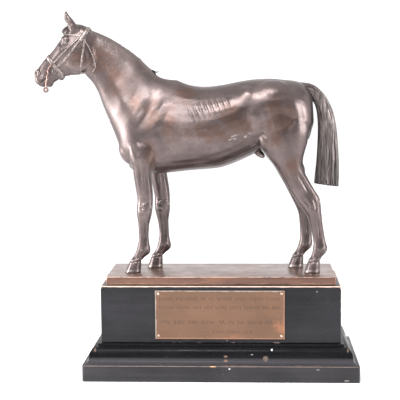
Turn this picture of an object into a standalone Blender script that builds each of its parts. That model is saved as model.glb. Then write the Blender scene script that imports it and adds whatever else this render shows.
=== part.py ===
# Horse trophy: a cast standing thoroughbred in a double bridle, on a bronze plate
# and a stepped, moulded wooden plinth with an engraved plaque.
# Metres, +Z up. The origin is the middle of the plinth's underside, +X is the
# horse's tail end and -Y the side that carries the plaque.

import math

import bmesh
import bpy
import numpy as np
from mathutils import Matrix, Vector

for old in list(bpy.data.objects):
    bpy.data.objects.remove(old, do_unlink=True)

# Plinth
SLAB_HEIGHT = 0.0144
SLAB_CORNER = 0.0025
SLAB_EDGE = 0.0008
MOULDING_HEIGHT = 0.0161
MOULDING_PROJECTION = 0.0149
MOULDING_STEP = 0.0021
MOULDING_STEP_OUT = 0.0024
MOULDING_WAIST_OUT = 0.0098
MOULDING_WAIST_HEIGHT = 0.0044
FOOT_LIP = 0.0004
SLAB_LEDGE = 0.0004
BLOCK_HEIGHT = 0.0500
BLOCK_CORNER = 0.0010
BLOCK_EDGE = 0.0004
PLATE_LENGTH = 0.2000
PLATE_DEPTH = 0.0710
PLATE_THICKNESS = 0.0070
PLATE_CORNER = 0.0013
PLATE_EDGE = 0.0004
PLATE_LEDGE = 0.0042
GAP = 0.0003

# Plaque and its pins
PLAQUE_LENGTH = 0.1120
PLAQUE_HEIGHT = 0.0425
PLAQUE_THICKNESS = 0.0010
PLAQUE_SHIFT = -0.0005
PIN_INSET = 0.0027
PIN_HEAD_RADIUS = 0.0013
PIN_HEAD_HEIGHT = 0.0007
PIN_SHANK_RADIUS = 0.0006
PIN_SHANK_LENGTH = 0.0050
PIN_SIDES = 10
PIN_DOME_PARTS = 3

# Horse: its height at the withers, and its place on the plate
WITHERS_HEIGHT = 0.172
HORSE_SET_BACK = 0.003
HORSE_SHIFT = 0.0
UNITS_HIGH = 172.0
UNIT = WITHERS_HEIGHT / UNITS_HIGH
VOXEL = 0.0008
SMOOTH_ROUNDS = 24
HORSE_TRIANGLES = 8000

# Bit
BIT_WIRE = 0.00065
BIT_RING_RADIUS = 0.0017
BIT_RING_WIRE = 0.0008
BIT_SIDES = 1

# Heights that follow from the sizes above
BLOCK_LENGTH = PLATE_LENGTH + 2 * PLATE_LEDGE
BLOCK_DEPTH = PLATE_DEPTH + 2 * PLATE_LEDGE
FOOT_LENGTH = BLOCK_LENGTH + 2 * MOULDING_PROJECTION
FOOT_DEPTH = BLOCK_DEPTH + 2 * MOULDING_PROJECTION
SLAB_LENGTH = FOOT_LENGTH + 2 * SLAB_LEDGE
SLAB_DEPTH = FOOT_DEPTH + 2 * SLAB_LEDGE
MOULDING_BOTTOM = SLAB_HEIGHT + GAP
MOULDING_TOP = MOULDING_BOTTOM + MOULDING_HEIGHT
BLOCK_BOTTOM = MOULDING_TOP + GAP
BLOCK_TOP = BLOCK_BOTTOM + BLOCK_HEIGHT
PLATE_BOTTOM = BLOCK_TOP + GAP
PLATE_TOP = PLATE_BOTTOM + PLATE_THICKNESS
SOLES = PLATE_TOP + GAP
BLOCK_FRONT = -BLOCK_DEPTH / 2
PLAQUE_BACK = BLOCK_FRONT - GAP
PLAQUE_FRONT = PLAQUE_BACK - PLAQUE_THICKNESS
PLAQUE_MIDDLE = BLOCK_BOTTOM + BLOCK_HEIGHT / 2

TROPHY = bpy.data.collections.new("horse_trophy")
CUTTERS = bpy.data.collections.new("cutters")
bpy.context.scene.collection.children.link(TROPHY)
bpy.context.scene.collection.children.link(CUTTERS)


# Materials and objects

def material(name, colour, roughness, metallic):
    """A plain Principled material."""
    made = bpy.data.materials.new(name)
    made.use_nodes = True
    shader = made.node_tree.nodes["Principled BSDF"]
    shader.inputs["Base Color"].default_value = (*colour, 1.0)
    shader.inputs["Roughness"].default_value = roughness
    shader.inputs["Metallic"].default_value = metallic
    return made


SILVERED_BRONZE = material("silvered_bronze", (0.27, 0.22, 0.20), 0.36, 1.0)
COPPER_BRONZE = material("copper_bronze", (0.40, 0.24, 0.18), 0.38, 1.0)
BIT_METAL = material("bit_metal", (0.44, 0.27, 0.22), 0.34, 1.0)
EBONISED_WOOD = material("ebonised_wood", (0.050, 0.048, 0.052), 0.42, 0.0)
MOULDING_WOOD = material("moulding_wood", (0.030, 0.029, 0.031), 0.36, 0.0)
SLAB_WOOD = material("slab_wood", (0.055, 0.053, 0.057), 0.46, 0.0)
PLAQUE_METAL = material("plaque_metal", (0.36, 0.23, 0.14), 0.42, 1.0)
PIN_METAL = material("pin_metal", (0.34, 0.22, 0.14), 0.38, 1.0)


def add_object(name, mesh, finish, collection=TROPHY):
    """Link a mesh as a named object with its material."""
    made = bpy.data.objects.new(name, mesh)
    if finish is not None:
        mesh.materials.append(finish)
    collection.objects.link(made)
    return made


def mesh_from(bm, name):
    """Turn a bmesh into a mesh whose faces point outwards."""
    bmesh.ops.recalc_face_normals(bm, faces=bm.faces)
    mesh = bpy.data.meshes.new(name)
    bm.to_mesh(mesh)
    bm.free()
    return mesh


def evaluated_mesh(holder):
    """The mesh of an object with its modifiers applied."""
    graph = bpy.context.evaluated_depsgraph_get()
    return bpy.data.meshes.new_from_object(holder.evaluated_get(graph))


def bevel(holder, width, segments):
    """Round an object's edges."""
    step = holder.modifiers.new("rounded_edges", "BEVEL")
    step.width = width
    step.segments = segments
    step.limit_method = "ANGLE"


def cut(holder, cutter):
    """Take a cutter's shape out of an object."""
    cutter.hide_render = True
    cutter.display_type = "WIRE"
    step = holder.modifiers.new("cut", "BOOLEAN")
    step.operation = "DIFFERENCE"
    step.solver = "EXACT"
    step.object = cutter


# Loft: closed cross-sections bridged one to the next

RING_SIDES = 32


def signed_power(value, power):
    """Raise a signed number's size to a power."""
    return math.copysign(abs(value) ** power, value)


def section(bm, row, y_middle, sides):
    """One cross-section between two points of the side view. A row is the upper
    point's x and z, the lower point's x and z, the half width, where it is
    widest as a share up from the lower point, and how square its upper and
    lower halves are: 2 is an ellipse, less is sharper, more is squarer."""
    top_x, top_z, low_x, low_z, half_width, widest, upper, lower = row
    top = Vector((top_x, y_middle, top_z))
    low = Vector((low_x, y_middle, low_z))
    waist = low.lerp(top, widest)
    ring = bmesh.ops.create_circle(bm, segments=sides, radius=1.0)["verts"]
    for vert in ring:
        across, along = vert.co.x, vert.co.y
        squareness = upper if along > 0 else lower
        reach = (top if along > 0 else low) - waist
        offset = abs(along) ** (2.0 / squareness)
        vert.co = waist + reach * offset
        vert.co.y += half_width * signed_power(across, 2.0 / squareness)
    return list({edge for vert in ring for edge in vert.link_edges})


def smooth_rows(rows, steps):
    """Rows that run smoothly through the given ones."""
    rows = np.array(rows, dtype=float)
    first = 2 * rows[0] - rows[1]
    last = 2 * rows[-1] - rows[-2]
    rows = np.vstack([first, rows, last])
    result = []
    for index in range(1, len(rows) - 2):
        a, b, c, d = rows[index - 1:index + 3]
        for t in np.arange(steps) / steps:
            bend = 2 * a - 5 * b + 4 * c - d
            twist = 3 * b - a - 3 * c + d
            result.append(b + 0.5 * t * ((c - a) + t * (bend + t * twist)))
    result.append(rows[-2])
    return result


def loft(bm, rows, y_middle=0.0, steps=3, sides=RING_SIDES):
    """Bridge smooth cross-sections and close both ends."""
    rings = [section(bm, row, y_middle, sides) for row in smooth_rows(rows, steps)]
    for ring, following in zip(rings, rings[1:]):
        bmesh.ops.bridge_loops(bm, edges=ring + following)
    for end in (rings[0], rings[-1]):
        bmesh.ops.contextual_create(bm, geom=end)


# The horse, in units of its height at the withers: x from the plate's middle,
# y from its own middle plane, z from the plate

NEAR, FAR = -1.0, 1.0

TRUNK = [
    (-89, 140, -90.5, 112, 9.0, 0.48, 2.0, 2.0),
    (-85, 151, -87.0, 101, 15.5, 0.45, 1.9, 2.1),
    (-77, 162, -79.5, 92.5, 19.5, 0.46, 1.75, 2.2),
    (-66, 168, -68.0, 88.2, 21.5, 0.48, 1.55, 2.2),
    (-54, 172.3, -55.0, 87.0, 22.5, 0.50, 1.45, 2.2),
    (-42, 171.0, -42.0, 87.9, 24.0, 0.50, 1.55, 2.1),
    (-28, 165.7, -28.0, 89.4, 26.2, 0.50, 1.8, 2.05),
    (-14, 163.7, -14.0, 90.4, 27.5, 0.51, 1.95, 2.05),
    (0, 165.0, 0.0, 92.0, 28.0, 0.52, 2.0, 2.05),
    (14, 167.6, 14.0, 96.8, 27.2, 0.54, 2.0, 2.0),
    (28, 169.8, 28.0, 103.2, 26.0, 0.58, 2.05, 2.0),
    (42, 170.5, 42.0, 111.0, 26.0, 0.60, 2.1, 2.0),
    (56, 169.4, 57.0, 113.0, 25.5, 0.58, 2.1, 2.2),
    (68, 167.8, 70.5, 114.0, 22.5, 0.54, 2.0, 2.4),
    (76, 163.0, 79.0, 117.0, 17.5, 0.50, 2.0, 2.4),
    (80.6, 157.0, 82.4, 126.0, 9.5, 0.50, 2.0, 2.2),
]

NECK = [
    (-44, 168.0, -76.0, 98.0, 19.0, 0.42, 1.6, 2.2),
    (-54, 174.6, -88.5, 109.0, 18.5, 0.42, 1.6, 2.2),
    (-63.5, 181.4, -95.6, 123.0, 15.6, 0.42, 1.6, 2.1),
    (-71, 188.9, -99.6, 135.0, 13.0, 0.42, 1.6, 2.0),
    (-78, 194.6, -103.1, 143.7, 11.0, 0.42, 1.6, 2.0),
    (-87, 200.8, -106.0, 151.6, 9.7, 0.42, 1.6, 2.0),
    (-96, 206.4, -108.4, 158.5, 8.9, 0.42, 1.6, 2.0),
    (-105, 210.8, -112.6, 166.5, 8.6, 0.42, 1.65, 2.0),
    (-114, 214.4, -120.0, 175.0, 8.2, 0.45, 1.7, 2.0),
]

HEAD = [
    (-117.5, 217.4, -108.0, 203.0, 5.0, 0.50, 2.0, 2.0),
    (-126, 219.7, -109.5, 192.0, 8.0, 0.48, 2.0, 2.0),
    (-133.6, 215.5, -113.0, 182.2, 9.2, 0.50, 2.1, 2.0),
    (-139.0, 209.4, -118.0, 177.2, 9.8, 0.60, 2.3, 1.8),
    (-143.8, 203.1, -125.0, 175.2, 9.0, 0.66, 2.5, 1.7),
    (-148.2, 197.2, -132.0, 174.7, 7.2, 0.68, 2.5, 1.7),
    (-152.5, 192.6, -138.0, 173.5, 5.9, 0.68, 2.4, 1.7),
    (-156.8, 188.2, -143.5, 171.2, 5.1, 0.62, 2.3, 1.8),
    (-160.9, 183.3, -148.5, 168.2, 4.8, 0.54, 2.1, 2.0),
    (-164.5, 178.2, -152.5, 165.8, 5.1, 0.50, 2.1, 2.1),
    (-165.9, 173.0, -156.3, 164.4, 4.9, 0.50, 2.1, 2.1),
    (-164.6, 168.0, -159.8, 164.8, 3.4, 0.50, 2.0, 2.0),
]

EAR = [
    (-132.5, 211.5, -123.5, 214.5, 3.4, 0.50, 2.0, 2.0),
    (-133.6, 216.0, -126.0, 218.4, 3.3, 0.50, 2.0, 2.0),
    (-135.4, 221.0, -129.0, 222.8, 3.0, 0.50, 2.0, 2.0),
    (-137.2, 225.5, -132.4, 226.8, 2.4, 0.50, 2.0, 2.0),
    (-136.9, 229.3, -134.5, 229.8, 1.4, 0.50, 2.0, 2.0),
    (-135.6, 231.8, -134.9, 231.8, 0.5, 0.50, 2.0, 2.0),
]
EAR_SPREAD = 4.8
FAR_EAR_BASE = (2.0, -1.5)
FAR_EAR_TIP = (-3.2, -3.0)

# The forelock: one short lock over the brow, standing off at its tip
FORELOCK = [
    (-126.0, 219.3, -126.0, 214.0, 2.6, 0.50, 2.0, 2.0),
    (-131.0, 219.0, -130.0, 213.4, 2.9, 0.50, 2.0, 2.0),
    (-135.4, 218.2, -133.8, 212.2, 2.7, 0.50, 2.0, 2.0),
    (-138.6, 216.2, -136.8, 211.4, 2.3, 0.50, 2.0, 2.0),
    (-140.8, 213.4, -139.4, 210.8, 1.2, 0.50, 2.0, 2.0),
]
FORELOCK_SHIFT = 1.0

TAIL = [
    (70.0, 167.3, 70.0, 155.0, 5.0, 0.5, 2.0, 2.0),
    (77.0, 166.0, 75.0, 155.6, 4.8, 0.5, 2.0, 2.0),
    (84.0, 162.6, 79.2, 153.4, 4.5, 0.5, 2.0, 2.0),
    (90.3, 156.4, 83.0, 149.2, 4.6, 0.5, 2.0, 2.0),
    (95.2, 148.4, 85.3, 142.8, 5.0, 0.5, 2.0, 2.0),
    (99.0, 138.8, 86.4, 134.0, 5.6, 0.5, 2.1, 2.1),
    (101.6, 126.0, 86.8, 124.0, 6.2, 0.5, 2.2, 2.2),
    (103.0, 111.0, 86.3, 110.5, 6.6, 0.5, 2.3, 2.3),
    (103.9, 96.0, 85.4, 96.5, 6.8, 0.5, 2.4, 2.4),
    (104.2, 84.0, 84.3, 85.5, 6.6, 0.5, 2.4, 2.4),
    (104.0, 74.9, 83.5, 77.6, 6.2, 0.5, 2.4, 2.4),
]

# Leg rows: height, front, back, half width
FORE_LEG = [
    (122, -80.0, -56.0, 5.0),
    (112, -82.0, -54.5, 8.0),
    (101, -80.4, -57.0, 8.8),
    (92.9, -77.6, -60.4, 8.0),
    (85.8, -76.8, -61.2, 7.2),
    (78.7, -75.8, -60.6, 6.6),
    (71.6, -74.7, -60.0, 5.8),
    (64.5, -73.8, -59.9, 5.2),
    (59.5, -74.2, -60.2, 5.6),
    (53.7, -74.6, -60.8, 5.7),
    (48.5, -74.2, -61.9, 4.9),
    (43.0, -73.5, -63.4, 3.8),
    (34.0, -73.1, -64.1, 3.2),
    (28.6, -73.3, -64.0, 3.3),
    (24.0, -74.1, -63.4, 4.0),
    (20.0, -75.2, -62.6, 4.4),
    (16.4, -76.6, -63.9, 3.8),
    (13.0, -78.8, -68.4, 3.5),
    (10.8, -80.6, -70.6, 4.6),
    (9.2, -81.6, -70.9, 5.2),
    (5.0, -83.6, -71.3, 5.9),
    (-1.5, -86.5, -72.0, 6.6),
]

HIND_LEG = [
    (146, 48.0, 70.0, 6.0),
    (135, 40.0, 77.0, 10.0),
    (124, 36.0, 78.6, 12.2),
    (113, 35.3, 75.8, 11.8),
    (103, 40.6, 73.0, 10.2),
    (95.9, 46.1, 72.2, 8.8),
    (90.6, 50.0, 73.0, 7.6),
    (85.3, 53.0, 75.4, 6.6),
    (78.2, 57.2, 79.3, 5.4),
    (71.1, 61.5, 83.6, 4.6),
    (66.5, 64.6, 86.6, 4.8),
    (61.5, 68.0, 87.8, 5.4),
    (55.0, 72.7, 88.4, 5.3),
    (49.0, 76.4, 89.0, 4.5),
    (40.1, 79.0, 90.1, 3.5),
    (32.0, 80.8, 91.5, 3.3),
    (26.5, 81.6, 92.6, 3.7),
    (22.0, 81.4, 93.9, 4.5),
    (18.2, 80.9, 93.4, 4.3),
    (14.6, 79.7, 90.4, 3.7),
    (11.8, 78.2, 88.0, 4.1),
    (9.8, 77.0, 87.6, 5.1),
    (5.0, 75.3, 87.8, 6.0),
    (-1.5, 73.0, 87.6, 6.6),
]

FORE_SPREAD = 13.8
HIND_SPREAD = 13.8
# How far along the far legs stand from the near ones, by height
FAR_FORE_STEP = ((0, 17.6), (12, 16.5), (35, 15.8), (58, 13.2), (118, 10.0))
FAR_HIND_STEP = ((0, -13.8), (12, -13.2), (35, -9.4), (50, -6.8), (60, -4.2), (74, -1.8))


def leg(bm, rows, spread, side, step):
    """One leg. The far one's rows are moved along by its step at their height."""
    heights, shifts = zip(*step)
    sections = []
    for height, front, back, half_width in rows:
        shift = float(np.interp(height, heights, shifts)) if side == FAR else 0.0
        ends = (front + shift, height, back + shift, height)
        sections.append((*ends, half_width, 0.5, 2.2, 2.2))
    loft(bm, sections, side * spread)


def ear(bm, side):
    """One ear. The far one leans further forward."""
    rows = np.array(EAR)
    if side == FAR:
        lean = np.linspace(FAR_EAR_BASE, FAR_EAR_TIP, len(rows))
        rows[:, 0:2] += lean
        rows[:, 2:4] += lean
    loft(bm, rows, side * EAR_SPREAD)


def mass(bm, centre, radii, tilt=0.0, mirrored=True):
    """An ellipsoid of muscle or bone, tilted in the side view."""
    x, y, z = centre
    for side in (NEAR, FAR) if mirrored else (FAR,):
        place = Matrix.Translation((x, side * y, z))
        place = place @ Matrix.Rotation(math.radians(tilt), 4, "Y")
        place = place @ Matrix.Diagonal((*radii, 1.0))
        bmesh.ops.create_uvsphere(
            bm, u_segments=28, v_segments=16, radius=1.0, matrix=place)


# Masses: centre, radii, tilt. A tilt of 30 leans the top back by 30 degrees
MASSES = [
    ((-73, 9.5, 135), (12, 10.0, 27), 32),
    ((-60, 11.0, 126), (15, 10.5, 20), 20),
    ((-82, 8.5, 119), (8.5, 8.0, 11), 20),
    ((-82, 6.0, 107), (8.0, 7.5, 12), -20),
    ((-68, 12.6, 101), (11.0, 8.2, 15), -10),
    ((24, 12.4, 152.5), (12, 11.8, 12), 0),
    ((46, 9.5, 152), (24, 15.5, 17), 0),
    ((52, 12.0, 132), (22, 14.0, 28), -14),
    ((41.5, 13.5, 116), (9.0, 9.4, 13), -25),
    ((67, 9.5, 137), (13, 11.5, 26), 8),
    ((61, 12.9, 95), (10.5, 8.2, 17), -38),
    ((-125.5, 4.6, 189), (13, 5.0, 12.5), 0),
    ((-135.5, 4.8, 205.0), (5.5, 4.8, 4.6), 40),
    ((-162.4, 2.9, 176.6), (3.2, 2.6, 3.8), 20),
]
MIDDLE_MASSES = [
    ((-70, 0, 96), (13, 8, 8), 0),
    ((33.5, 0, 105.0), (3.2, 2.8, 7.0), -50),
    ((-152.8, 0, 167.7), (3.9, 3.6, 3.4), 0),
    ((-141.6, 0, 172.2), (2.2, 3.4, 2.0), 25),
]


def horse_body():
    """All lofts and masses of the horse in one mesh of overlapping shells."""
    bm = bmesh.new()
    loft(bm, TRUNK, steps=4)
    loft(bm, NECK, steps=4)
    loft(bm, HEAD, steps=4)
    loft(bm, TAIL, steps=4)
    loft(bm, FORELOCK, FORELOCK_SHIFT)
    for side in (NEAR, FAR):
        ear(bm, side)
        leg(bm, FORE_LEG, FORE_SPREAD, side, FAR_FORE_STEP)
        leg(bm, HIND_LEG, HIND_SPREAD, side, FAR_HIND_STEP)
    for centre, radii, tilt in MASSES:
        mass(bm, centre, radii, tilt)
    for centre, radii, tilt in MIDDLE_MASSES:
        mass(bm, centre, radii, tilt, mirrored=False)
    return mesh_from(bm, "horse_masses")


def fused(mesh, voxel):
    """Melt overlapping shells into one closed skin."""
    holder = add_object("horse_fusing", mesh, None)
    step = holder.modifiers.new("fuse", "REMESH")
    step.mode = "VOXEL"
    step.voxel_size = voxel
    result = evaluated_mesh(holder)
    bpy.data.objects.remove(holder, do_unlink=True)
    return result


class Skin:
    """The horse's points, which the strokes below move."""

    def __init__(self, mesh):
        self.mesh = mesh
        self.points = self.read(mesh.vertices, "co", 3)
        self.edges = np.empty(len(mesh.edges) * 2, dtype=np.int32)
        mesh.edges.foreach_get("vertices", self.edges)
        self.edges = self.edges.reshape(-1, 2)
        self.refresh()

    def read(self, items, name, width):
        values = np.empty(len(items) * width, dtype=np.float32)
        items.foreach_get(name, values)
        return values.reshape(-1, width).astype(float)

    def refresh(self):
        """Write the points back and read the new normals."""
        self.mesh.vertices.foreach_set("co", self.points.astype(np.float32).ravel())
        self.mesh.update()
        self.normals = self.read(self.mesh.vertex_normals, "vector", 3)

    def relax(self, rounds, draw_in=0.50, push_out=-0.52):
        """Smooth the creases and keep the volume."""
        a, b = self.edges[:, 0], self.edges[:, 1]
        count = len(self.points)
        links = np.bincount(a, minlength=count) + np.bincount(b, minlength=count)
        for _ in range(rounds):
            for amount in (draw_in, push_out):
                total = np.empty_like(self.points)
                for axis in range(3):
                    value = self.points[:, axis]
                    total[:, axis] = (
                        np.bincount(a, value[b], count) + np.bincount(b, value[a], count))
                mean = total / links[:, None]
                self.points += amount * (mean - self.points)
        self.refresh()

    def stroke(self, path, width, height, sides=(NEAR, FAR), taper=0.3, wrap=False):
        """Raise or sink the skin along a path of the side view. It fades over
        the taper share at both ends, and where the skin turns away, unless it
        wraps around."""
        path = np.array(path, dtype=float)
        spot = self.points[:, [0, 2]]
        low = path.min(axis=0) - width
        high = path.max(axis=0) + width
        near = np.flatnonzero(((spot > low) & (spot < high)).all(axis=1))
        spot = spot[near]
        best = np.full(len(near), np.inf)
        along = np.zeros(len(near))
        passed = 0.0
        for start, end in zip(path, path[1:]):
            span = end - start
            length = np.linalg.norm(span)
            share = np.clip((spot - start) @ span / length ** 2, 0.0, 1.0)
            distance = np.linalg.norm(spot - start - share[:, None] * span, axis=1)
            closer = distance < best
            best[closer] = distance[closer]
            along[closer] = (passed + share * length)[closer]
            passed += length
        amount = np.clip(1.0 - (best / width) ** 2, 0.0, 1.0) ** 2
        if taper > 0:
            run = np.minimum(along, passed - along) / (taper * passed)
            amount *= np.clip(run, 0.0, 1.0)
        facing = self.normals[near, 1]
        place = self.points[near, 1]
        mask = np.zeros(len(near))
        for side in sides:
            here = side * place > -0.5
            turn = np.ones(len(near)) if wrap else np.clip(2.0 * side * facing, 0.0, 1.0)
            mask = np.maximum(mask, here * turn)
        self.points[near] += (height * amount * mask)[:, None] * self.normals[near]


# Bridle straps, each a path of the side view
NOSEBAND = [(-155.5, 193.0), (-148, 186), (-143, 181.5), (-139.5, 178.5), (-137.5, 171)]
NOSEBAND_HANGER = [(-124, 209), (-128, 204), (-137, 195), (-147, 186)]
CHEEK_STRAP = [(-117.5, 214), (-125, 203), (-135, 190.5), (-144, 182)]
HEADPIECE = [(-112.0, 217), (-115.0, 213), (-121, 207)]
BROWBAND = [(-119, 209), (-128, 209.5), (-134, 211.5), (-140, 210)]
THROATLATCH = [(-118, 211), (-120.5, 204), (-121.5, 192), (-121.5, 183), (-124, 174)]
STRAPS = (NOSEBAND, NOSEBAND_HANGER, CHEEK_STRAP, HEADPIECE, BROWBAND, THROATLATCH)
STRAP_WIDTH = 1.6
STRAP_RISE = 0.75

RIB_COUNT = 9
RIB_PITCH = 5.4
FIRST_RIB = -29.0

TAIL_LOCKS = 5
TAIL_LOCK_PITCH = 3.4
TAIL_PATH = [(80, 160), (88, 154), (93, 144), (94.5, 126), (95, 108), (94.5, 80)]


def model_muscles(skin):
    """Grooves and ridges of the body."""
    skin.stroke([(-60, 165), (-67, 153), (-76, 139), (-86, 124)], 7.0, 1.5)
    skin.stroke([(-54, 160), (-61, 149), (-70, 136), (-80, 121)], 5.5, -1.2)
    skin.stroke([(-44, 154), (-52, 143), (-58, 130)], 4.0, 0.7)
    skin.stroke([(-52, 136), (-49, 123), (-48, 106), (-51, 96)], 4.5, -1.6)
    skin.stroke([(-104, 178), (-97, 160), (-92, 146), (-89, 131)], 4.0, -1.0)
    skin.stroke([(-72, 104), (-71, 92), (-70, 80)], 2.5, -0.6)
    for index in range(RIB_COUNT):
        top = FIRST_RIB + index * RIB_PITCH
        skin.stroke([(top, 151), (top + 4, 143), (top + 10, 129)], 2.3, 0.45)
    skin.stroke([(25, 147), (29, 138), (33, 120)], 4.0, 1.4)
    skin.stroke([(20, 149), (23, 138), (26, 126)], 4.5, -1.5)
    skin.stroke([(26, 122), (31, 112)], 5.0, -1.0)
    skin.stroke([(56, 160), (63, 150), (67, 137), (66, 118)], 5.0, 0.9)
    skin.stroke([(52, 152), (57, 138), (58, 122), (60, 106)], 4.0, -1.0)
    skin.stroke([(67, 92), (74, 78), (80, 67)], 2.6, -1.1)
    for index in range(TAIL_LOCKS):
        shift = (index - (TAIL_LOCKS - 1) / 2) * TAIL_LOCK_PITCH
        lock = [(x + shift, z) for x, z in TAIL_PATH]
        skin.stroke(lock, 1.3, -0.8, taper=0.1)


def model_head(skin):
    """Eyes, nostrils, mouth, the edge of the jaw and the ears' hollows."""
    skin.stroke([(-114, 200), (-111.5, 190), (-113, 181)], 3.0, -1.2)
    skin.stroke([(-140, 199), (-146, 191), (-150, 187)], 2.4, 0.5)
    skin.stroke([(-134, 204), (-138.5, 203)], 2.8, 0.7, taper=0.2)
    skin.stroke([(-135.0, 203.6), (-137.2, 203)], 1.3, -0.6, taper=0)
    skin.stroke([(-162.2, 178.2), (-163.6, 175.8)], 1.6, -1.4, taper=0)
    skin.stroke([(-152, 172.5), (-157, 170.5), (-160.5, 167)], 1.4, -1.3)
    skin.stroke([(-135.2, 229), (-134.2, 223), (-131.5, 217)], 1.8, -1.5, taper=0.2)


def model_bridle(skin):
    """The straps stand proud of the head all the way round."""
    for path in STRAPS:
        skin.stroke(path, STRAP_WIDTH, STRAP_RISE, taper=0, wrap=True)


def horse():
    """The casting: fused, smoothed, carved and brought down to few triangles."""
    mesh = fused(horse_body(), VOXEL / UNIT)
    skin = Skin(mesh)
    skin.relax(SMOOTH_ROUNDS)
    model_muscles(skin)
    skin.refresh()
    model_head(skin)
    skin.refresh()
    model_bridle(skin)
    skin.points[:, 2] = np.maximum(skin.points[:, 2], 0.0)
    skin.points *= UNIT
    skin.points += (HORSE_SHIFT, HORSE_SET_BACK, SOLES)
    skin.refresh()
    mesh.shade_smooth()
    made = add_object("horse", mesh, SILVERED_BRONZE)
    total = sum(len(face.vertices) - 2 for face in mesh.polygons)
    step = made.modifiers.new("fewer_triangles", "DECIMATE")
    step.ratio = HORSE_TRIANGLES / total
    step.use_collapse_triangulate = True
    return made


# Bit: one cheek of the curb bit on each side, a bent wire with a ring at its end

NEAR_CHEEK = [(-149.0, 184.5), (-151.2, 181.5), (-152.6, 178.8), (-151.9, 176.8),
              (-153.3, 174.5), (-153.4, 171), (-154.2, 167.6), (-154.4, 163.8)]
OFF_CHEEK = [(-147.6, 186.0), (-148.0, 183.4), (-147.4, 181.4), (-145.6, 180.6),
             (-143.6, 181.0), (-141.6, 180.4), (-139.6, 180.2), (-137.6, 180.6)]
NEAR_CHEEK_STAND_OFF = 7.8
OFF_CHEEK_STAND_OFF = 8.1


def in_place(x, y, z):
    """A point of the horse in the trophy's frame."""
    return Vector((x * UNIT + HORSE_SHIFT, y * UNIT + HORSE_SET_BACK, z * UNIT + SOLES))


def bit_cheek(name, path, side, stand_off):
    """A wire cheek and its end ring, joined."""
    curve = bpy.data.curves.new(name, "CURVE")
    curve.dimensions = "3D"
    curve.bevel_depth = BIT_WIRE
    curve.bevel_resolution = BIT_SIDES
    curve.use_fill_caps = True
    line = curve.splines.new("POLY")
    line.points.add(len(path) - 1)
    for point, (x, z) in zip(line.points, path):
        point.co = (*in_place(x, side * stand_off, z), 1.0)
    wire = add_object(name + "_wire", curve, None)
    wire_mesh = evaluated_mesh(wire)
    bpy.data.objects.remove(wire, do_unlink=True)
    bm = bmesh.new()
    bm.from_mesh(wire_mesh)
    bmesh.ops.remove_doubles(bm, verts=bm.verts, dist=0.00001)
    made = add_object(name, mesh_from(bm, name), BIT_METAL)
    end = path[-1]
    before = path[-2]
    away = Vector((end[0] - before[0], 0.0, end[1] - before[1])).normalized()
    centre = in_place(end[0], side * stand_off, end[1]) + away * BIT_RING_RADIUS
    bpy.ops.mesh.primitive_torus_add(
        major_segments=12, minor_segments=6, major_radius=BIT_RING_RADIUS,
        minor_radius=BIT_RING_WIRE, location=centre, rotation=(math.radians(90), 0, 0))
    ring = bpy.context.object
    ring.name = name + "_ring"
    for holder in list(ring.users_collection):
        holder.objects.unlink(ring)
    CUTTERS.objects.link(ring)
    ring.hide_render = True
    ring.display_type = "WIRE"
    step = made.modifiers.new("end_ring", "BOOLEAN")
    step.operation = "UNION"
    step.solver = "EXACT"
    step.object = ring
    return made


# Plinth pieces

CORNER_PARTS = 3
MOULDING_PARTS = 6
SWELL_SQUARENESS = 0.75


def board(name, length, depth, bottom, top, finish, corner, edge):
    """A board on the vertical axis with round upright corners and eased edges."""
    bm = bmesh.new()
    place = Matrix.Translation((0.0, 0.0, (bottom + top) / 2))
    place = place @ Matrix.Diagonal((length, depth, top - bottom, 1.0))
    bmesh.ops.create_cube(bm, size=1.0, matrix=place)
    upright = [e for e in bm.edges if abs(e.verts[0].co.z - e.verts[1].co.z) > GAP]
    bmesh.ops.bevel(
        bm, geom=upright, offset=corner, segments=CORNER_PARTS, profile=0.5,
        affect="EDGES")
    made = add_object(name, mesh_from(bm, name), finish)
    bevel(made, edge, 1)
    return made


def moulding_profile():
    """The moulding's outline from the foot up, as how far it stands out and its
    height: a hollow foot, a steep swell rounded over, and a small top step."""
    swell_top = MOULDING_HEIGHT - MOULDING_STEP
    hollow = MOULDING_PROJECTION - MOULDING_WAIST_OUT
    swell = MOULDING_WAIST_OUT - MOULDING_STEP_OUT
    points = [(MOULDING_PROJECTION, 0.0)]
    for index in range(1, MOULDING_PARTS + 1):
        angle = math.radians(90.0 * index / MOULDING_PARTS)
        out = MOULDING_PROJECTION - hollow * math.sin(angle)
        height = MOULDING_WAIST_HEIGHT * (1.0 - math.cos(angle)) + FOOT_LIP * math.cos(angle)
        points.append((out, height))
    for index in range(1, MOULDING_PARTS + 1):
        angle = math.radians(90.0 * index / MOULDING_PARTS)
        out = MOULDING_STEP_OUT + swell * math.cos(angle) ** SWELL_SQUARENESS
        rise = (swell_top - MOULDING_WAIST_HEIGHT) * math.sin(angle)
        points.append((out, MOULDING_WAIST_HEIGHT + rise))
    points.append((MOULDING_STEP_OUT, MOULDING_HEIGHT))
    return points


def moulding():
    """A board whose four edges carry the ogee, mitred at the corners."""
    bm = bmesh.new()
    loops = []
    for out, height in moulding_profile():
        ring = bmesh.ops.create_circle(bm, segments=4, radius=1.0)["verts"]
        corners = ((1, 1), (-1, 1), (-1, -1), (1, -1))
        for vert, (side_x, side_y) in zip(ring, corners):
            vert.co.x = side_x * (BLOCK_LENGTH / 2 + out)
            vert.co.y = side_y * (BLOCK_DEPTH / 2 + out)
            vert.co.z = MOULDING_BOTTOM + height
        loops.append(list({e for v in ring for e in v.link_edges}))
    for lower, upper in zip(loops, loops[1:]):
        bmesh.ops.bridge_loops(bm, edges=lower + upper)
    for end in (loops[0], loops[-1]):
        bmesh.ops.contextual_create(bm, geom=end)
    return add_object("plinth_moulding", mesh_from(bm, "plinth_moulding"), MOULDING_WOOD)


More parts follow.
